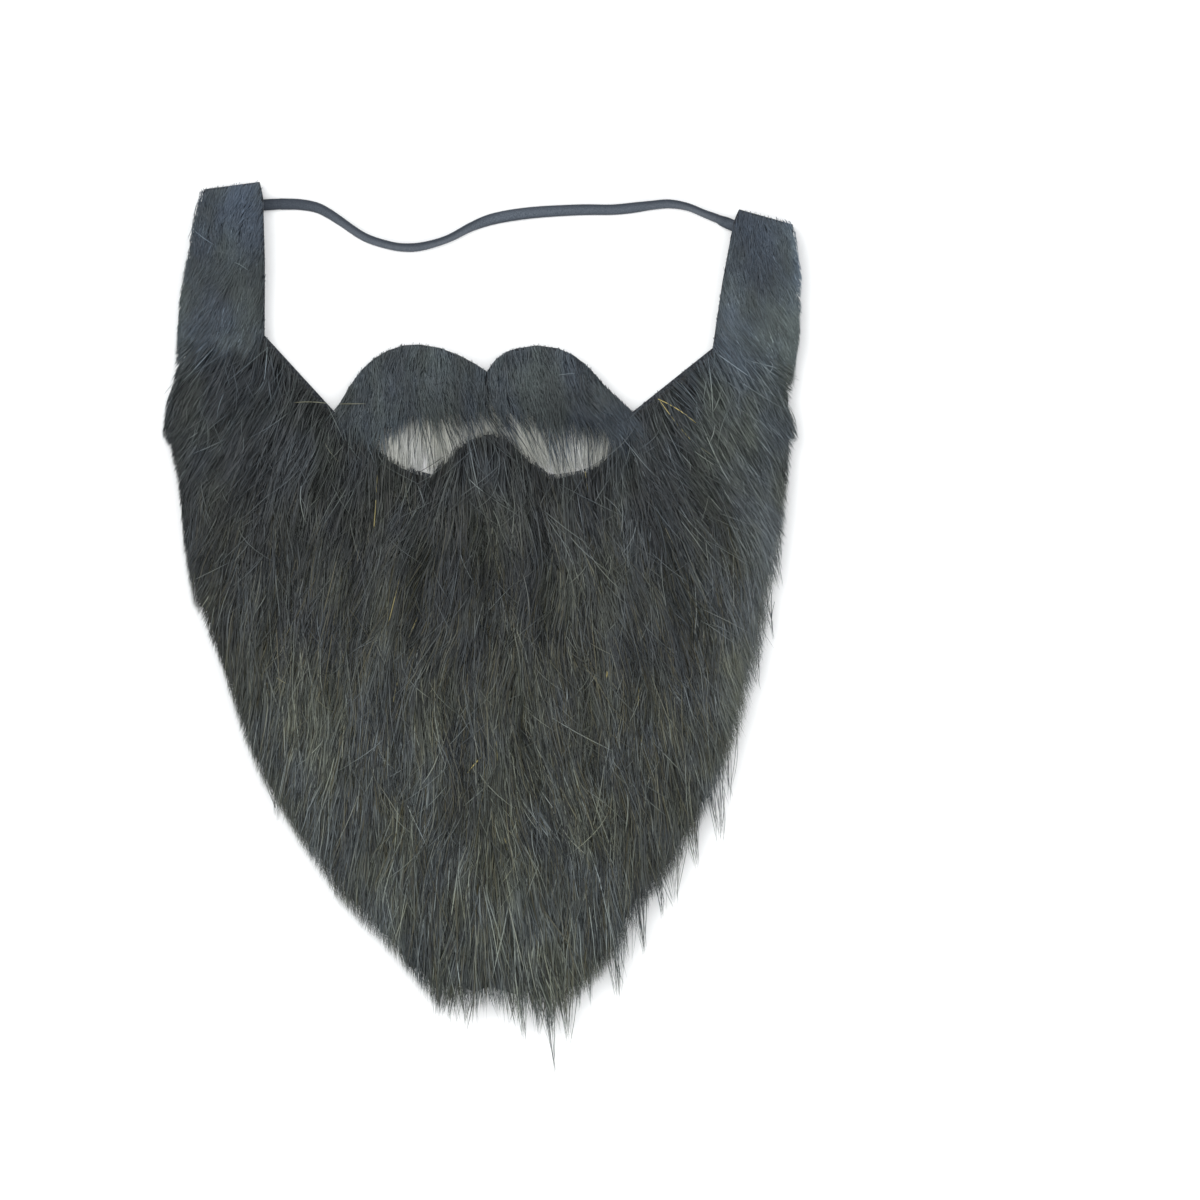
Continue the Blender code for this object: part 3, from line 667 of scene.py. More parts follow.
# Lean of the thin hairs over the mouth opening, by the place across
VEIL_LEANS = [
    (-0.040, rad(2)),
    (-0.016, rad(6)),
    (-0.004, rad(18)),
    (0.008, rad(34)),
    (0.020, rad(30)),
    (0.030, rad(10)),
    (0.044, rad(2)),
]


def veil_lean(places):
    across, leans = zip(*VEIL_LEANS)
    return np.interp(places[..., 0], across, leans)


def sideburn_lean(side):
    """Left and right sideburns splay a little more the further out and down."""

    def lean(places):
        x, y = places[..., 0], places[..., 1]
        outwards = np.clip((side * x - 0.079) / 0.028, 0, 1)
        down = 1 - ease((y - 0.095) / 0.05)
        if side < 0:
            return -rad(7) - rad(14) * outwards - rad(12) * down
        return -rad(4) + rad(14) * outwards + rad(20) * down

    return lean


# Hairs


def roots_on(node, count):
    """Places spread by chance over the cloth where a pile grows on it."""
    tree = tree_of(node)
    low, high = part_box(node)
    found = []
    while len(found) < count:
        x, y = chance.uniform(low[0], high[0]), chance.uniform(low[1], high[1])
        if top_of(tree, x, y) is not None and top_of(CLOTH, x, y) is not None:
            found.append((x, y))
    found = np.array(found)
    inwards, edge = inward_at(found)
    outwards = chance.uniform(0, RIM_SPILL, count) * edge
    return found + chance.normal(0, ROOT_SCATTER, (count, 2)) - inwards * outwards[:, None]


def comb(roots, lean, length, turn):
    """Lines combed over the table from their roots: (hairs, FINE_STEPS + 1, 2)."""
    line = [roots]
    for _ in range(FINE_STEPS):
        wander = sum(size * grid.at(line[-1]) for grid, size in RIPPLES)
        angle = lean(line[-1]) + turn + wander
        heading = np.stack([np.sin(angle), -np.cos(angle)], -1)
        line.append(line[-1] + heading * (length / FINE_STEPS))
    return np.stack(line, 1)


def nearest(places, centres):
    """For each place, the number of the nearest centre."""
    tree = KDTree(len(centres))
    for i, (x, y) in enumerate(centres):
        tree.insert((x, y, 0), i)
    tree.balance()
    return np.array([tree.find((x, y, 0))[1] for x, y in places])


def read_lines(lines, position):
    """Points of lines at positions counted in steps, (hairs, points)."""
    first = np.clip(position.astype(int), 0, lines.shape[1] - 2)
    part = (position - first)[..., None]
    row = np.arange(len(lines))[:, None]
    return lines[row, first] * (1 - part) + lines[row, first + 1] * part


def grow(roots, lean, longest, lengths, clump, points=HAIR_POINTS, bare=BARE_REACH):
    """Hairs' lines over the table in clumps, cut where the fur ends, with what each needs.

    clump is a row of CLUMPS. bare: the reach at which hairs end at a cut edge, or None for
    hairs that hang over it.
    """
    spacing, pull, turn, sway = clump
    area = (np.ptp(roots[:, 0]) * np.ptp(roots[:, 1])) * 0.7
    centres = roots[chance.permutation(len(roots))[: max(8, int(area / spacing**2))]]
    guides = comb(centres, lean, longest, chance.normal(0, turn, len(centres)))
    mine = nearest(roots, centres)
    shares = np.arange(FINE_STEPS + 1) / FINE_STEPS
    along = shares[None] * (lengths / longest)[:, None]
    lines = read_lines(guides[mine], along * FINE_STEPS)
    apart = roots - centres[mine]
    closing = chance.uniform(0.5, 1.0, len(roots)) * pull
    lines = lines + apart[:, None] * (1 - closing[:, None] * shares[None] ** 1.4)[..., None]
    drift = chance.normal(0, sway, len(roots))[:, None] * shares[None]
    drift = drift + chance.normal(0, sway * 0.8, len(roots))[:, None] * shares[None] ** 2
    lines[..., 0] += drift * lengths[:, None]

    kin = chance.normal(0, 1, len(centres))[mine]
    left, right = room_at(lines)
    stops = stops_for(lines[:, -1], kin)
    past = (left < stops[0][:, None]) | (right < stops[1][:, None])
    past |= -lines[..., 1] > stops[2][:, None]
    if bare is not None:
        inside = REACH.at(lines)
        begun = np.arange(FINE_STEPS + 1)[None] > inside.argmax(1)[:, None]
        past |= (inside < bare) & begun & (np.minimum(left, right) > CUT_EDGE_ROOM)
    last = np.where(past.any(1), past.argmax(1), FINE_STEPS)
    lines = read_lines(lines, last[:, None] * np.linspace(0, 1, points)[None])
    kept = last * lengths / FINE_STEPS > SHORTEST_HAIR
    hump = 1 - np.clip(np.linalg.norm(apart, axis=1) / spacing, 0, 1) ** 2
    return {"points": lines[kept], "hump": hump[kept], "kin": kin[kept]}


def lay(points, depth, sunk, hump, lift):
    """Raises lines from the table to the fur: rooted below its surface and lying along it."""
    shares = np.linspace(0, 1, points.shape[1])
    sunk = sunk * (0.15 + 0.85 * ease((REACH.at(points[:, 0]) - 0.7) / 0.3))[:, None]
    waves = chance.uniform(0, 2 * np.pi, len(points))[:, None] + 7.0 * shares[None]
    surface = HEIGHT.at(points)
    beyond = 1 - ease(REACH.at(points) * 2.2)
    surface = surface * (1 - 0.45 * beyond)
    level = surface + depth[:, None] + hump[:, None] * np.sin(np.pi * shares)[None]
    level += 0.0004 * np.sin(waves)
    level -= sunk * (1 - ease(shares / 0.16))[None]
    level += lift[:, None] * ease((shares - 0.4) / 0.6)[None]
    level = np.maximum(level, LOWEST_HAIR)
    return np.concatenate([points, level[..., None]], -1)


def hair_mesh(name, lines, width, roll, tone, gold, material, slot="fur"):
    """One piece of ribbon hairs that taper to their tips."""
    count, steps, _ = lines.shape
    shares = np.linspace(0, 1, steps)
    ahead = np.gradient(lines, axis=1)
    ahead /= np.maximum(np.linalg.norm(ahead, axis=2), 1e-9)[..., None]
    flat = np.cross(ahead, (0.0, 0.0, 1.0))
    flat /= np.maximum(np.linalg.norm(flat, axis=2), 1e-9)[..., None]
    normal = np.cross(flat, ahead)
    angle = roll[:, None] + np.linspace(-0.4, 0.4, steps)[None]
    wide = flat * np.cos(angle)[..., None] + normal * np.sin(angle)[..., None]
    profile = 0.75 + 0.25 * np.sin(np.pi * shares) - 0.45 * shares**3
    half = wide * (width[:, None] * profile[None] / 2)[..., None]
    pairs = np.stack([lines - half, lines + half], 2)[:, :-1].reshape(count, -1, 3)
    points = np.concatenate([pairs, lines[:, -1:]], 1)
    per = points.shape[1]
    quads = [(2 * i, 2 * i + 1, 2 * i + 3, 2 * i + 2) for i in range(steps - 2)]
    tip = (per - 3, per - 2, per - 1)
    corners = np.array([*(c for quad in quads for c in quad), *tip])
    sizes = np.array([4] * len(quads) + [3])
    starts = np.concatenate([[0], np.cumsum(sizes)[:-1]])
    mesh = bpy.data.meshes.new(name)
    mesh.vertices.add(count * per)
    mesh.vertices.foreach_set("co", points.astype(np.float32).ravel())
    mesh.loops.add(count * len(corners))
    base = np.arange(count)[:, None]
    mesh.loops.foreach_set("vertex_index", (corners[None] + base * per).astype(np.int32).ravel())
    mesh.polygons.add(count * len(sizes))
    mesh.polygons.foreach_set(
        "loop_start", (starts[None] + base * len(corners)).astype(np.int32).ravel()
    )
    mesh.update(calc_edges=True)
    mesh.shade_smooth()
    along = np.append(np.repeat(shares[:-1], 2), 1.0)
    for label, values in (
        ("tone", tone[:, None] + 0.10 * (along[None] - 0.5)),
        ("gold", np.repeat(gold[:, None], per, 1)),
    ):
        layer = mesh.attributes.new(label, "FLOAT", "POINT")
        layer.data.foreach_set("value", values.astype(np.float32).ravel())
    lay_out(mesh, count, corners, along)
    return place_piece(mesh_object(name, mesh, material), slot)


def lay_out(mesh, count, corners, along):
    """Gives each hair its own small square of a flat map."""
    across = np.append(np.tile([0.2, 0.8], len(along) // 2), 0.5)
    side = math.ceil(math.sqrt(count))
    column, row = np.arange(count) % side, np.arange(count) // side
    u = (column[:, None] + across[corners][None]) / side
    v = (row[:, None] + 0.1 + 0.8 * along[corners][None]) / side
    layer = mesh.uv_layers.new(name="OFBake")
    layer.uv.foreach_set("vector", np.stack([u, v], -1).astype(np.float32).ravel())


BEARD_HAIRS = 55000
CROSSING_HAIRS = 3000
CROSSING_LENGTHS = (0.007, 0.020)
# Length of the locks at the lip, and how much longer they get further down
LIP_LOCK = 0.026
LOCK_GAIN = 0.030


def gather_beard():
    """What the locks need, then the short hairs that cross them, and which hairs those are."""
    roots = roots_on("beard_pile", BEARD_HAIRS)
    from_lip = ease((0.075 - roots[:, 1]) / 0.05)
    side = ease((np.abs(roots[:, 0]) - 0.045) / 0.04)
    lengths = LIP_LOCK + LOCK_GAIN * np.maximum(from_lip, side * 0.6)
    lengths *= chance.uniform(0.7, 1.25, BEARD_HAIRS)
    locks = grow(roots, beard_lean, LONGEST_HAIR, lengths, CLUMPS["beard"])
    roots = roots_on("beard_pile", CROSSING_HAIRS)
    lengths = chance.uniform(*CROSSING_LENGTHS, CROSSING_HAIRS)
    loose = grow(roots, beard_lean, LONGEST_NAP, lengths, CLUMPS["crossing"])
    found = {key: np.concatenate([locks[key], loose[key]]) for key in locks}
    return found, np.arange(len(found["kin"])) >= len(locks["kin"])


def haze_at(tips):
    """How hazy and light the hairs are at the beard's right edge, by where they end."""
    down = -tips[:, 1]
    haze = ease(1 - room_at(tips)[1] / 0.010) * ease((0.09 - down) / 0.08)
    haze *= 0.3 + 0.7 * ease((down + 0.065) / 0.05)
    return haze


def beard_tone(lines, layer, kin, crosses, haze):
    """How light each hair is, by its place, its height in the fur, its clump and chance."""
    total = len(lines)
    across, down = lines[:, -1, 0], -lines[:, -1, 1]
    lower = ease((down + 0.02) / 0.12)
    left, right = ease((-across - 0.01) / 0.04), ease((across - 0.03) / 0.05)
    under_lip = ease((0.05 - np.abs(across)) / 0.03) * ease((0.02 - down) / 0.03)
    calm = 1 - 0.4 * ease((lines[:, 0, 1] - 0.055) / 0.04)
    tone = 0.40 + calm * (0.10 + 0.09 * lower) * chance.normal(0, 1, total)
    tone += 0.08 * (layer - 0.5) + 0.06 * calm * kin
    tone += 0.04 * right + left * (0.19 * ease((down - 0.01) / 0.05) - 0.07)
    tone += 0.03 * ease((down - 0.11) / 0.03) - 0.03 * under_lip
    tone += (chance.uniform(0, 1, total) < 0.06) * chance.uniform(0.10, 0.30, total)
    tone += crosses * chance.uniform(0, 0.25, total)
    tone += 0.7 * haze * chance.uniform(0.2, 1, total)
    return tone


def beard_gold(down):
    """How golden hairs are that end this far down: many a little khaki, very few golden."""
    total = len(down)
    khaki = (chance.uniform(0, 1, total) < 0.25) * chance.uniform(0.02, 0.14, total)
    golden = (chance.uniform(0, 1, total) < 0.0004) * chance.uniform(0.3, 0.7, total)
    return np.maximum(khaki * ease((down + 0.05) / 0.10), golden)


def make_beard(material):
    """Long hair in locks, with short hairs that cross them on top, in four pieces."""
    found, crosses = gather_beard()
    total = len(crosses)
    layer = chance.uniform(0, 1, total) + 0.5 * crosses
    depth = -0.0008 + 0.0020 * layer
    stray = chance.uniform(0, 1, total) < 0.02
    lift = chance.normal(0, 0.0006, total) + stray * chance.uniform(0.001, 0.004, total)
    lines = lay(found["points"], depth, 0.0022, 0.0010 * found["hump"], lift)

    down = -lines[:, -1, 1]
    haze = haze_at(lines[:, -1])
    tone = beard_tone(lines, layer, found["kin"], crosses, haze)
    gold = beard_gold(down)
    width = chance.uniform(*HAIR_WIDTHS["beard"], total) * (1 - 0.4 * haze) * (1 - 0.25 * crosses)
    width *= 1 + 0.4 * ease((down - 0.125) / 0.01)
    roll = chance.normal(0, 0.7, total)
    order = np.argsort(-lines[:, 0, 1])
    words = ("cheek", "upper", "lower", "tip")
    for word, part in zip(words, np.array_split(order, len(words))):
        own = [values[part] for values in (lines, width, roll, tone, gold)]
        hair_mesh(f"beard_hair_{word}", *own, material)


NAP_HAIRS = {"moustache": 5800, "sideburn": 7000}
# Hairs that hang over each half of the mouth opening: pale thin ones, whose dense grey also stands in
# for painted shade on the surface seen through the opening, and dark ones above them
VEIL_HAIRS = 800
DARK_HAIRS = {"left": 70, "right": 130}
SHORTEST_VEIL = 0.022
SHORTEST_DARK = 0.006
LONGEST_VEIL = 0.030
DARK_ABOVE = 0.0016
# The veil's level at its roots, how far it sinks, and over what length
VEIL_LEVEL = 0.0036
VEIL_DROP = 0.0022
VEIL_BEND = 0.015
MOUTH_TOP = 0.073
MOUTH_ENDS = {"left": -0.041, "right": 0.043}
# How far the hair bulges past the outer edge of a sideburn, and where across that begins
SIDE_SPILL = 0.0013
SPILL_START = 0.084
SPILL_RUN = 0.020


def make_moustache(material, veil_and_painted_shade_material):
    """Short hair down each lobe, and a veil of thin hairs that hang over the mouth opening; the veil's
    grey is partly painted shade of the surface seen through the opening.
    """
    for word, inner in MOUTH_ENDS.items():
        roots = roots_on(f"moustache_pile_{word}", NAP_HAIRS["moustache"])
        right = ease((roots[:, 0] - 0.010) / 0.02)
        reach = chance.exponential(0.0035 + 0.0025 * right, len(roots))
        lengths = 0.003 + np.minimum(reach, 0.018)
        clump = CLUMPS["moustache"]
        found = grow(roots, moustache_lean, LONGEST_NAP, lengths, clump, NAP_POINTS, None)
        total = len(found["kin"])
        depth = -0.0006 + 0.0014 * chance.uniform(0, 1, total)
        lift = chance.normal(0, 0.0003, total)
        lines = lay(found["points"], depth, 0.002, 0.0004 * found["hump"], lift)
        hair_mesh(
            f"moustache_hair_{word}",
            lines,
            chance.uniform(*HAIR_WIDTHS["moustache"], total),
            chance.normal(0, 0.4, total),
            0.44 + 0.05 * chance.normal(0, 1, total) + 0.03 * found["kin"],
            np.zeros(total),
            material,
        )
        hanging = (
            # The pale veil is dense enough to read as a grey sheet: thin hairs, and painted shade of
            # the surface beneath them
            ("veil_and_painted_shade", VEIL_HAIRS, SHORTEST_VEIL, 0, (0.5, 0.17), veil_and_painted_shade_material),
            ("strands", DARK_HAIRS[word], SHORTEST_DARK, DARK_ABOVE, (0.40, 0.10), material),
        )
        for kind, count, shortest, above, tones, look in hanging:
            hair_mesh(
                f"moustache_{kind}_{word}",
                hang_veil(count, inner, shortest, above),
                chance.uniform(*HAIR_WIDTHS[kind], count),
                chance.normal(0, 0.4, count),
                chance.normal(*tones, count),
                np.zeros(count),
                look,
            )


def hang_veil(count, inner, shortest, above):
    """Hairs from the moustache's lower edge down over the opening and in under the lip."""
    start = chance.uniform(min(0, inner), max(0, inner), count)
    roots = np.column_stack([start, MOUTH_TOP + chance.uniform(-0.001, 0.006, count)])
    lengths = shortest + (LONGEST_VEIL - shortest) * chance.uniform(0, 1, count) ** 1.5
    fine = comb(roots, veil_lean, LONGEST_VEIL, chance.normal(0, rad(6), count))
    shares = np.linspace(0, 1, HAIR_POINTS)[None]
    points = read_lines(fine, (lengths / LONGEST_VEIL * FINE_STEPS)[:, None] * shares)
    level = above + VEIL_LEVEL - VEIL_DROP * ease(shares * lengths[:, None] / VEIL_BEND)
    level = level + chance.normal(0, 0.0003, count)[:, None]
    return np.concatenate([points, level[..., None]], -1)


def outer_share(across):
    """How far out on a sideburn a place across is: 1 at its outer edge."""
    return ease((across - SPILL_START) / SPILL_RUN)


def make_sideburns(material):
    """Short smooth fur that splays out a little over each sideburn's outer edge."""
    for word, side in (("left", -1), ("right", 1)):
        roots = roots_on(f"sideburn_pile_{word}", NAP_HAIRS["sideburn"])
        roots[:, 0] += side * SIDE_SPILL * outer_share(side * roots[:, 0])
        longest = 0.005 + 0.013 * ease((0.142 - roots[:, 1]) / 0.045)
        lengths = longest * chance.uniform(0.6, 1.2, len(roots))
        clump = CLUMPS["sideburn"]
        found = grow(roots, sideburn_lean(side), LONGEST_NAP, lengths, clump, NAP_POINTS)
        total = len(found["kin"])
        depth = -0.0003 + 0.0007 * chance.uniform(0, 1, total)
        lift = chance.normal(0, 0.0002, total)
        lines = lay(found["points"], depth, 0.0012, np.zeros(total), lift)
        loose = ease((0.128 - lines[:, 0, 1]) / 0.03)
        tone = 0.45 + (0.035 + 0.045 * loose) * chance.normal(0, 1, total) + 0.02 * found["kin"]
        tone += (chance.uniform(0, 1, total) < 0.01) * chance.uniform(0.1, 0.3, total)
        tone += 0.2 * ease(1 - room_at(lines[:, -1])[1] / 0.004)
        hair_mesh(
            f"sideburn_hair_{word}",
            lines,
            chance.uniform(*HAIR_WIDTHS["sideburn"], total) * (1 + 0.4 * loose),
            chance.normal(0, 0.3, total),
            tone,
            np.zeros(total),
            material,
            "sideburn_fur",
        )


# Hairs that stand out singly. column, row: pixels of the photograph.
# Wisps at the beard's edge. hairs: how many meet at the tip. spread: how far apart, in metres.
# length, in metres. turn: how much further the wisp leans than the fur there, to the right.
WISPS = [
    (434, 1004, 18, 0.0018, 0.026, 0),
    (439, 1022, 22, 0.0015, 0.030, 0),
    (452, 1010, 18, 0.0020, 0.028, 0),
    (460, 1012, 14, 0.0020, 0.026, 0),
    (467, 1028, 18, 0.0013, 0.030, 0),
    (483, 1014, 18, 0.0022, 0.028, 0),
    (500, 1018, 18, 0.0018, 0.028, 0),
    (516, 1026, 24, 0.0016, 0.030, 0),
    (525, 1042, 18, 0.0012, 0.034, 0),
    (538, 1031, 22, 0.0016, 0.030, 0),
    (551, 1038, 20, 0.0018, 0.032, 0),
    (556, 1079, 9, 0.0007, 0.042, 0),
    (569, 1044, 20, 0.0013, 0.034, 0),
    (580, 1010, 12, 0.0016, 0.028, 0),
    (592, 1006, 10, 0.0012, 0.030, 0),
    (618, 1003, 26, 0.0014, 0.034, 0),
    (624, 985, 14, 0.0016, 0.024, 0),
    (644, 954, 18, 0.0012, 0.026, 0),
    (630, 968, 12, 0.0016, 0.024, 0),
    (676, 905, 18, 0.0018, 0.022, 0),
    (664, 920, 14, 0.0015, 0.022, 0),
    (697, 870, 18, 0.0018, 0.022, 0),
    (720, 844, 20, 0.0016, 0.024, 0),
    (731, 800, 14, 0.0018, 0.020, 0),
    (758, 690, 12, 0.0018, 0.018, 0),
    (772, 640, 12, 0.0018, 0.018, 0),
    (782, 585, 14, 0.0018, 0.018, 0),
    (278, 823, 20, 0.0016, 0.022, 0),
    (163, 436, 22, 0.0014, 0.014, rad(-8)),
    (165, 427, 18, 0.0018, 0.014, rad(-12)),
    (167, 415, 16, 0.0018, 0.013, rad(-12)),
    (171, 398, 14, 0.0018, 0.012, rad(-10)),
    (797, 438, 20, 0.0010, 0.012, rad(-8)),
]
# Stray hairs from one place to another, with their tone and how golden they are
STRAYS = [
    (658, 399, 698, 425, 0.80, 1.0),
    (660, 401, 694, 444, 0.75, 0.8),
    (694, 444, 733, 483, 0.85, 0.2),
    (733, 483, 771, 514, 0.85, 0.1),
    (734, 386, 757, 405, 0.80, 0.0),
    (718, 376, 748, 398, 0.75, 0.0),
    (292, 403, 331, 404, 0.70, 0.2),
    (340, 404, 367, 404, 0.70, 0.2),
    (241, 418, 266, 402, 0.75, 0.0),
    (252, 398, 268, 372, 0.75, 0.0),
    (321, 434, 340, 463, 0.70, 0.1),
    (478, 607, 505, 688, 0.80, 0.2),
    (663, 523, 680, 557, 0.75, 0.2),
    (271, 674, 315, 695, 0.80, 0.4),
    (486, 752, 464, 778, 0.75, 1.0),
    (485, 620, 512, 703, 0.80, 0.2),
    (374, 689, 396, 794, 0.85, 0.1),
    (421, 684, 444, 757, 0.80, 0.2),
    (319, 666, 299, 748, 0.80, 0.2),
    (494, 822, 508, 850, 0.65, 0.8),
    (607, 668, 603, 685, 0.65, 1.0),
    (640, 455, 661, 442, 0.75, 0.0),
    (404, 478, 428, 560, 0.70, 0.1),
    (425, 540, 450, 480, 0.75, 0.1),
    (555, 376, 578, 373, 0.75, 0.0),
    (195, 231, 216, 246, 0.70, 0.0),
    (233, 262, 250, 272, 0.70, 0.0),
]


def make_wisps(material):
    """Tufts that reach out past the fur's edge, each drawn together at its tip."""
    points, tone = [], []
    shares = np.linspace(0, 1, HAIR_POINTS)[:, None]
    for column, row, hairs, spread, reach, turn in WISPS:
        tip = np.array(at_pixel(column, row))
        for _ in range(hairs):
            end = tip + chance.normal(0, 1, 2) * (spread * 0.45, spread)
            end[1] += abs(chance.normal(0, 1)) * spread * 1.5
            lean = beard_lean(tip) + turn + chance.normal(0, rad(3))
            length = reach * chance.uniform(0.75, 1.2)
            back = np.array((-math.sin(lean), math.cos(lean))) * length
            root = end + back + chance.normal(0, spread * 1.6, 2) * (1, 0.3)
            bow = chance.normal(0, 0.0006) * np.sin(np.pi * shares) * (1, 0)
            points.append(root + (end - root) * shares + bow)
            tone.append(chance.normal(0.58, 0.10))
    points, total = np.array(points), len(points)
    lines = lay(points, np.full(total, -0.0002), 0.003, np.zeros(total), np.zeros(total))
    hair_mesh(
        "beard_wisps",
        lines,
        chance.uniform(*HAIR_WIDTHS["wisps"], total),
        chance.normal(0, 0.7, total),
        np.array(tone),
        np.zeros(total),
        material,
    )


def make_strays(material):
    """Single hairs that cross the others on top of the fur."""
    shares = np.linspace(0, 1, HAIR_POINTS)[:, None]
    points = []
    for column, row, end_column, end_row, _, _ in STRAYS:
        start, end = np.array(at_pixel(column, row)), np.array(at_pixel(end_column, end_row))
        aside = np.array((end[1] - start[1], start[0] - end[0])) * chance.normal(0, 0.05)
        points.append(start + (end - start) * shares + aside * np.sin(np.pi * shares))
    total = len(points)
    lines = lay(np.array(points), np.full(total, 0.0016), 0.002, np.zeros(total), np.zeros(total))
    tone, gold = np.array(STRAYS)[:, 4], np.array(STRAYS)[:, 5]
    width = 0.00022 + 0.00010 * gold
    hair_mesh("beard_strays", lines, width, np.zeros(total), tone, gold, material)


# Undercoat and cloth


# How far down the undercoat reaches at the beard's tip
TIP_LEVEL = 0.1338
# The share of the pile's depth that it keeps, and how far in from the pile's edge it lies
UNDERCOAT_SHARE = 0.86
EDGE_INSET = 0.0008
# Cells that its form is rebuilt from
VOXELS = {"beard": 0.0018, "moustache": 0.0011, "sideburn": 0.0012}


def opened(mesh):
    """A mesh opened for editing, with its doubled corners made one."""
    shell = bmesh.new()
    shell.from_mesh(mesh)
    bmesh.ops.remove_doubles(shell, verts=shell.verts, dist=WELD_DISTANCE)
    return shell


def make_undercoat(name, node, voxel, material, slot):
    """Dense fur under the long hairs: the pile's own form, softened and a little shrunk."""
    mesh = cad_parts[node].data.copy()
    made = mesh_object(name, mesh, material)
    welded = opened(mesh)
    welded.to_mesh(mesh)
    welded.free()
    remesh = made.modifiers.new("voxels", "REMESH")
    remesh.mode = "VOXEL"
    remesh.voxel_size = voxel
    soften = made.modifiers.new("soften", "SMOOTH")
    soften.factor = 0.5
    soften.iterations = 5
    bpy.context.view_layer.update()
    graph = bpy.context.evaluated_depsgraph_get()
    softened = bpy.data.meshes.new_from_object(made.evaluated_get(graph))
    made.modifiers.clear()
    made.data = softened
    points = np.empty(len(softened.vertices) * 3)
    softened.vertices.foreach_get("co", points)
    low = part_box(node)[0]
    points = draw_in(points.reshape(-1, 3), low.z)
    if node.startswith("moustache"):
        over_mouth = 1 - ease((np.abs(points[:, 0]) - 0.036) / 0.008)
        points[:, 1] += 0.5 * np.maximum(0, low.y + 0.014 - points[:, 1]) * over_mouth
    softened.vertices.foreach_set("co", points.ravel())
    softened.shade_smooth()
    softened.materials.clear()
    softened.materials.append(material)
    return place_piece(made, slot, node)


def draw_in(points, bottom):
    """Lowers the undercoat and keeps it behind the hair: in at the edges and out at the sideburns."""
    flat = points[:, :2]
    inwards, edge = inward_at(flat)
    moved = flat + inwards * (EDGE_INSET * edge)[:, None]
    outer = outer_share(np.abs(flat[:, 0])) * ease((flat[:, 1] - 0.09) / 0.02)
    moved[:, 0] += np.sign(flat[:, 0]) * 0.8 * SIDE_SPILL * outer
    left, right = room_at(moved)
    hazy = 0.0010 + 0.0028 * ease((0.060 - moved[:, 1]) / 0.02)
    hazy += 0.0014 * ease((-0.07 - moved[:, 1]) / 0.03)
    moved[:, 0] += np.maximum(0, 0.0010 - left) - np.maximum(0, hazy - right)
    moved[:, 1] += 0.8 * np.maximum(0, -moved[:, 1] - TIP_LEVEL)
    tip = ease((-flat[:, 1] - 0.126) / 0.008)
    share = UNDERCOAT_SHARE * (1 - 0.30 * edge) * (1 - 0.45 * tip)
    level = bottom + np.maximum(0.0, points[:, 2] - bottom) * share
    return np.column_stack([moved, level])


def make_cloth(material):
    """The knitted backing: the cut cloth with its edge softened."""
    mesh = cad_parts["cloth_backing"].data.copy()
    shell = opened(mesh)
    bmesh.ops.recalc_face_normals(shell, faces=shell.faces)
    area = sum(face.calc_area() for face in shell.faces if face.normal.z < -0.5)
    shell.to_mesh(mesh)
    shell.free()
    made = mesh_object("knitted_backing", mesh, material)
    bevel = made.modifiers.new("soft_edge", "BEVEL")
    bevel.width = 0.0003
    bevel.segments = 2
    bevel.limit_method = "ANGLE"
    bevel.angle_limit = rad(60)
    place_piece(made, "knitted_cloth", "cloth_backing")
    return made


# Table and light


def make_stage():
    mesh = bpy.data.meshes.new("table")
    half = 6.0
    mesh.from_pydata(
        [(-half, -half, 0), (half, -half, 0), (half, half, 0), (-half, half, 0)], [], [(0, 1, 2, 3)]
    )
    material, _, shader = new_material("table", 0.9, 0.0)
    shader.inputs["Base Color"].default_value = (0.98, 0.98, 0.975, 1.0)
    floor = mesh_object("table", mesh, material)
    floor.location.z = -0.0001


def make_light():
    world = bpy.data.worlds.new("studio")
    bpy.context.scene.world = world
    world.use_nodes = True
    background = world.node_tree.nodes["Background"]
    background.inputs["Color"].default_value = (0.97, 0.985, 1.0, 1.0)
    background.inputs["Strength"].default_value = 1.22
    data = bpy.data.lights.new("key", "AREA")
    data.energy = 10.5
    data.size = 1.2
    key = bpy.data.objects.new("key", data)
    key.location = (-0.9, 0.9, 1.3)
    key.rotation_euler = (-key.location).to_track_quat("-Z", "Y").to_euler()
    bpy.context.scene.collection.objects.link(key)
    view = bpy.context.scene.view_settings
    view.view_transform = "Standard"
    view.look = "None"


make_camera()
make_elastic(elastic_material())

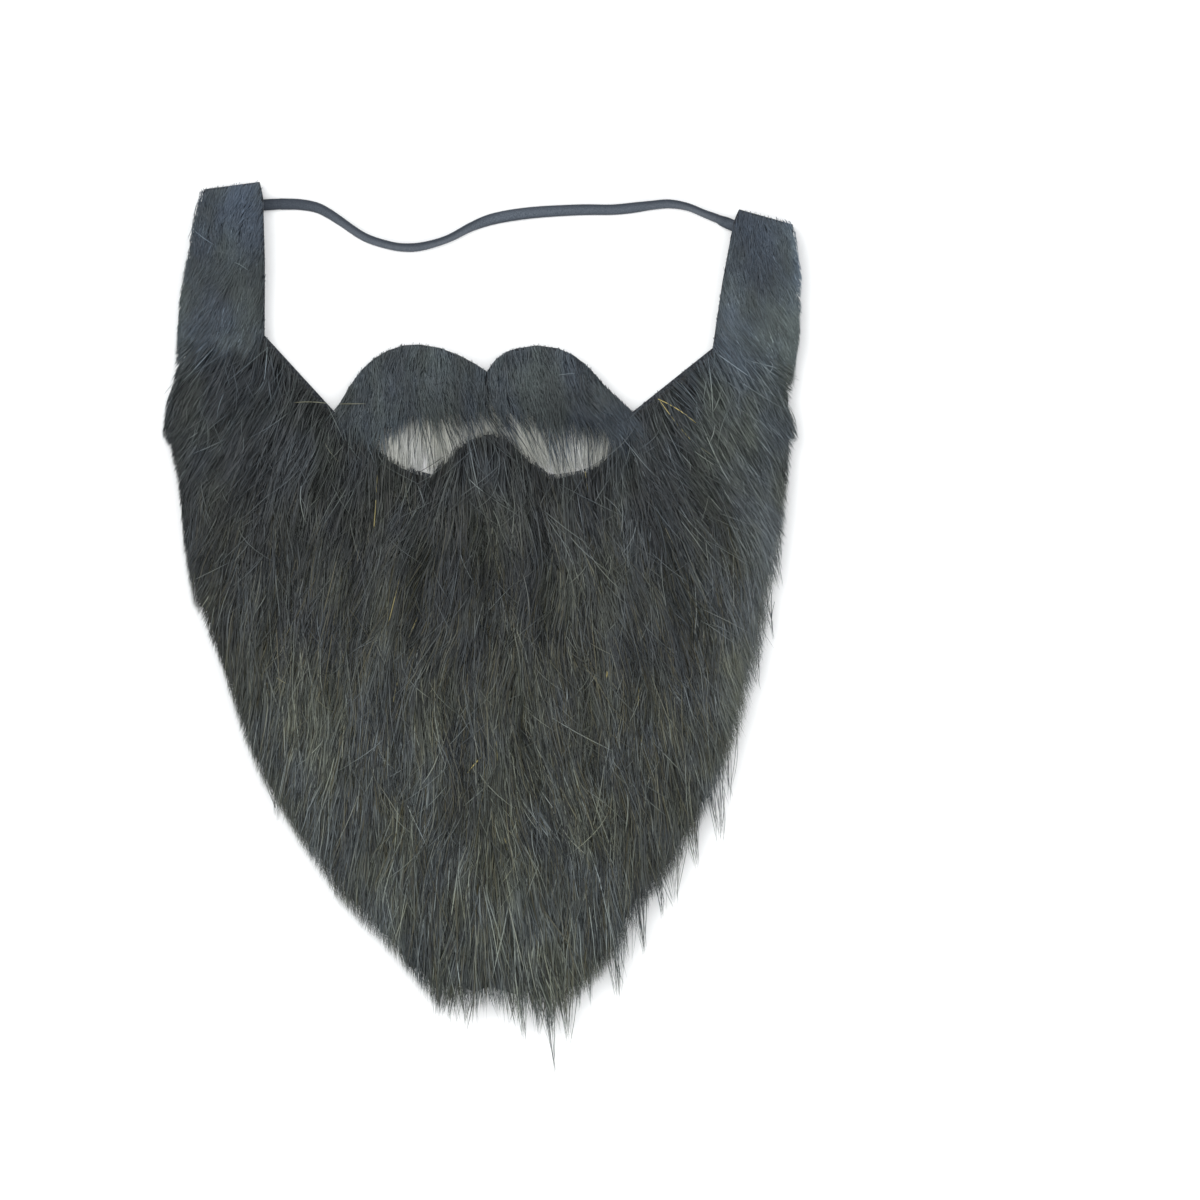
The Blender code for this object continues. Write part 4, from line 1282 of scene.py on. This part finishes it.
CLOTH = tree_of("cloth_backing")
HEIGHT, REACH, INWARDS = survey()
RIPPLES = [(ripple(0.004), rad(5)), (ripple(0.011), rad(5))]

make_cloth(knit_material())

fur_tones = [
    (0.0, shade(24, 26, 27)),
    (0.35, shade(47, 50, 51)),
    (0.62, shade(80, 84, 84)),
    (1.0, shade(142, 146, 144)),
]
# Tints from the beard's tip, at 0, up to its sideburns, at 1
fur_tints = [
    (0.05, (0.93, 0.97, 0.92, 1.0)),
    (0.25, (0.76, 0.79, 0.75, 1.0)),
    (0.45, (0.57, 0.59, 0.58, 1.0)),
    (0.64, (0.57, 0.60, 0.61, 1.0)),
    (0.78, (0.76, 0.84, 0.90, 1.0)),
    (0.88, (1.00, 1.15, 1.28, 1.0)),
    (0.99, (1.08, 1.27, 1.56, 1.0)),
]
nap_tints = [
    (0.75, (0.77, 0.89, 1.03, 1.0)),
    (0.88, (1.02, 1.19, 1.38, 1.0)),
    (0.99, (1.06, 1.28, 1.66, 1.0)),
]
fur = hair_material("fur", fur_tones, fur_tints)
nap = hair_material("nap", fur_tones, nap_tints)
# The veil's greys: pale hair, and painted shade of the surface seen through the mouth opening
veil_and_painted_shade_tones = [(0.0, shade(100, 103, 101)), (0.5, shade(165, 166, 161)), (1.0, shade(208, 208, 202))]
veil_and_painted_shade = hair_material("veil_and_painted_shade", veil_and_painted_shade_tones, [(0.0, (1.0, 1.0, 1.0, 1.0))], 0.3)
under_fur = undercoat_material("under_fur", shade(26, 28, 29), shade(54, 56, 56))
under_nap = undercoat_material("under_nap", shade(54, 60, 66), shade(72, 80, 88))

make_undercoat("beard_undercoat", "beard_pile", VOXELS["beard"], under_fur, "fur")
for word in ("left", "right"):
    for kind, slot in (("moustache", "fur"), ("sideburn", "sideburn_fur")):
        made_name, pile = f"{kind}_undercoat_{word}", f"{kind}_pile_{word}"
        make_undercoat(made_name, pile, VOXELS[kind], under_nap, slot)

make_beard(fur)
make_moustache(nap, veil_and_painted_shade)
make_sideburns(nap)
make_wisps(fur)
make_strays(fur)
make_stage()
make_light()
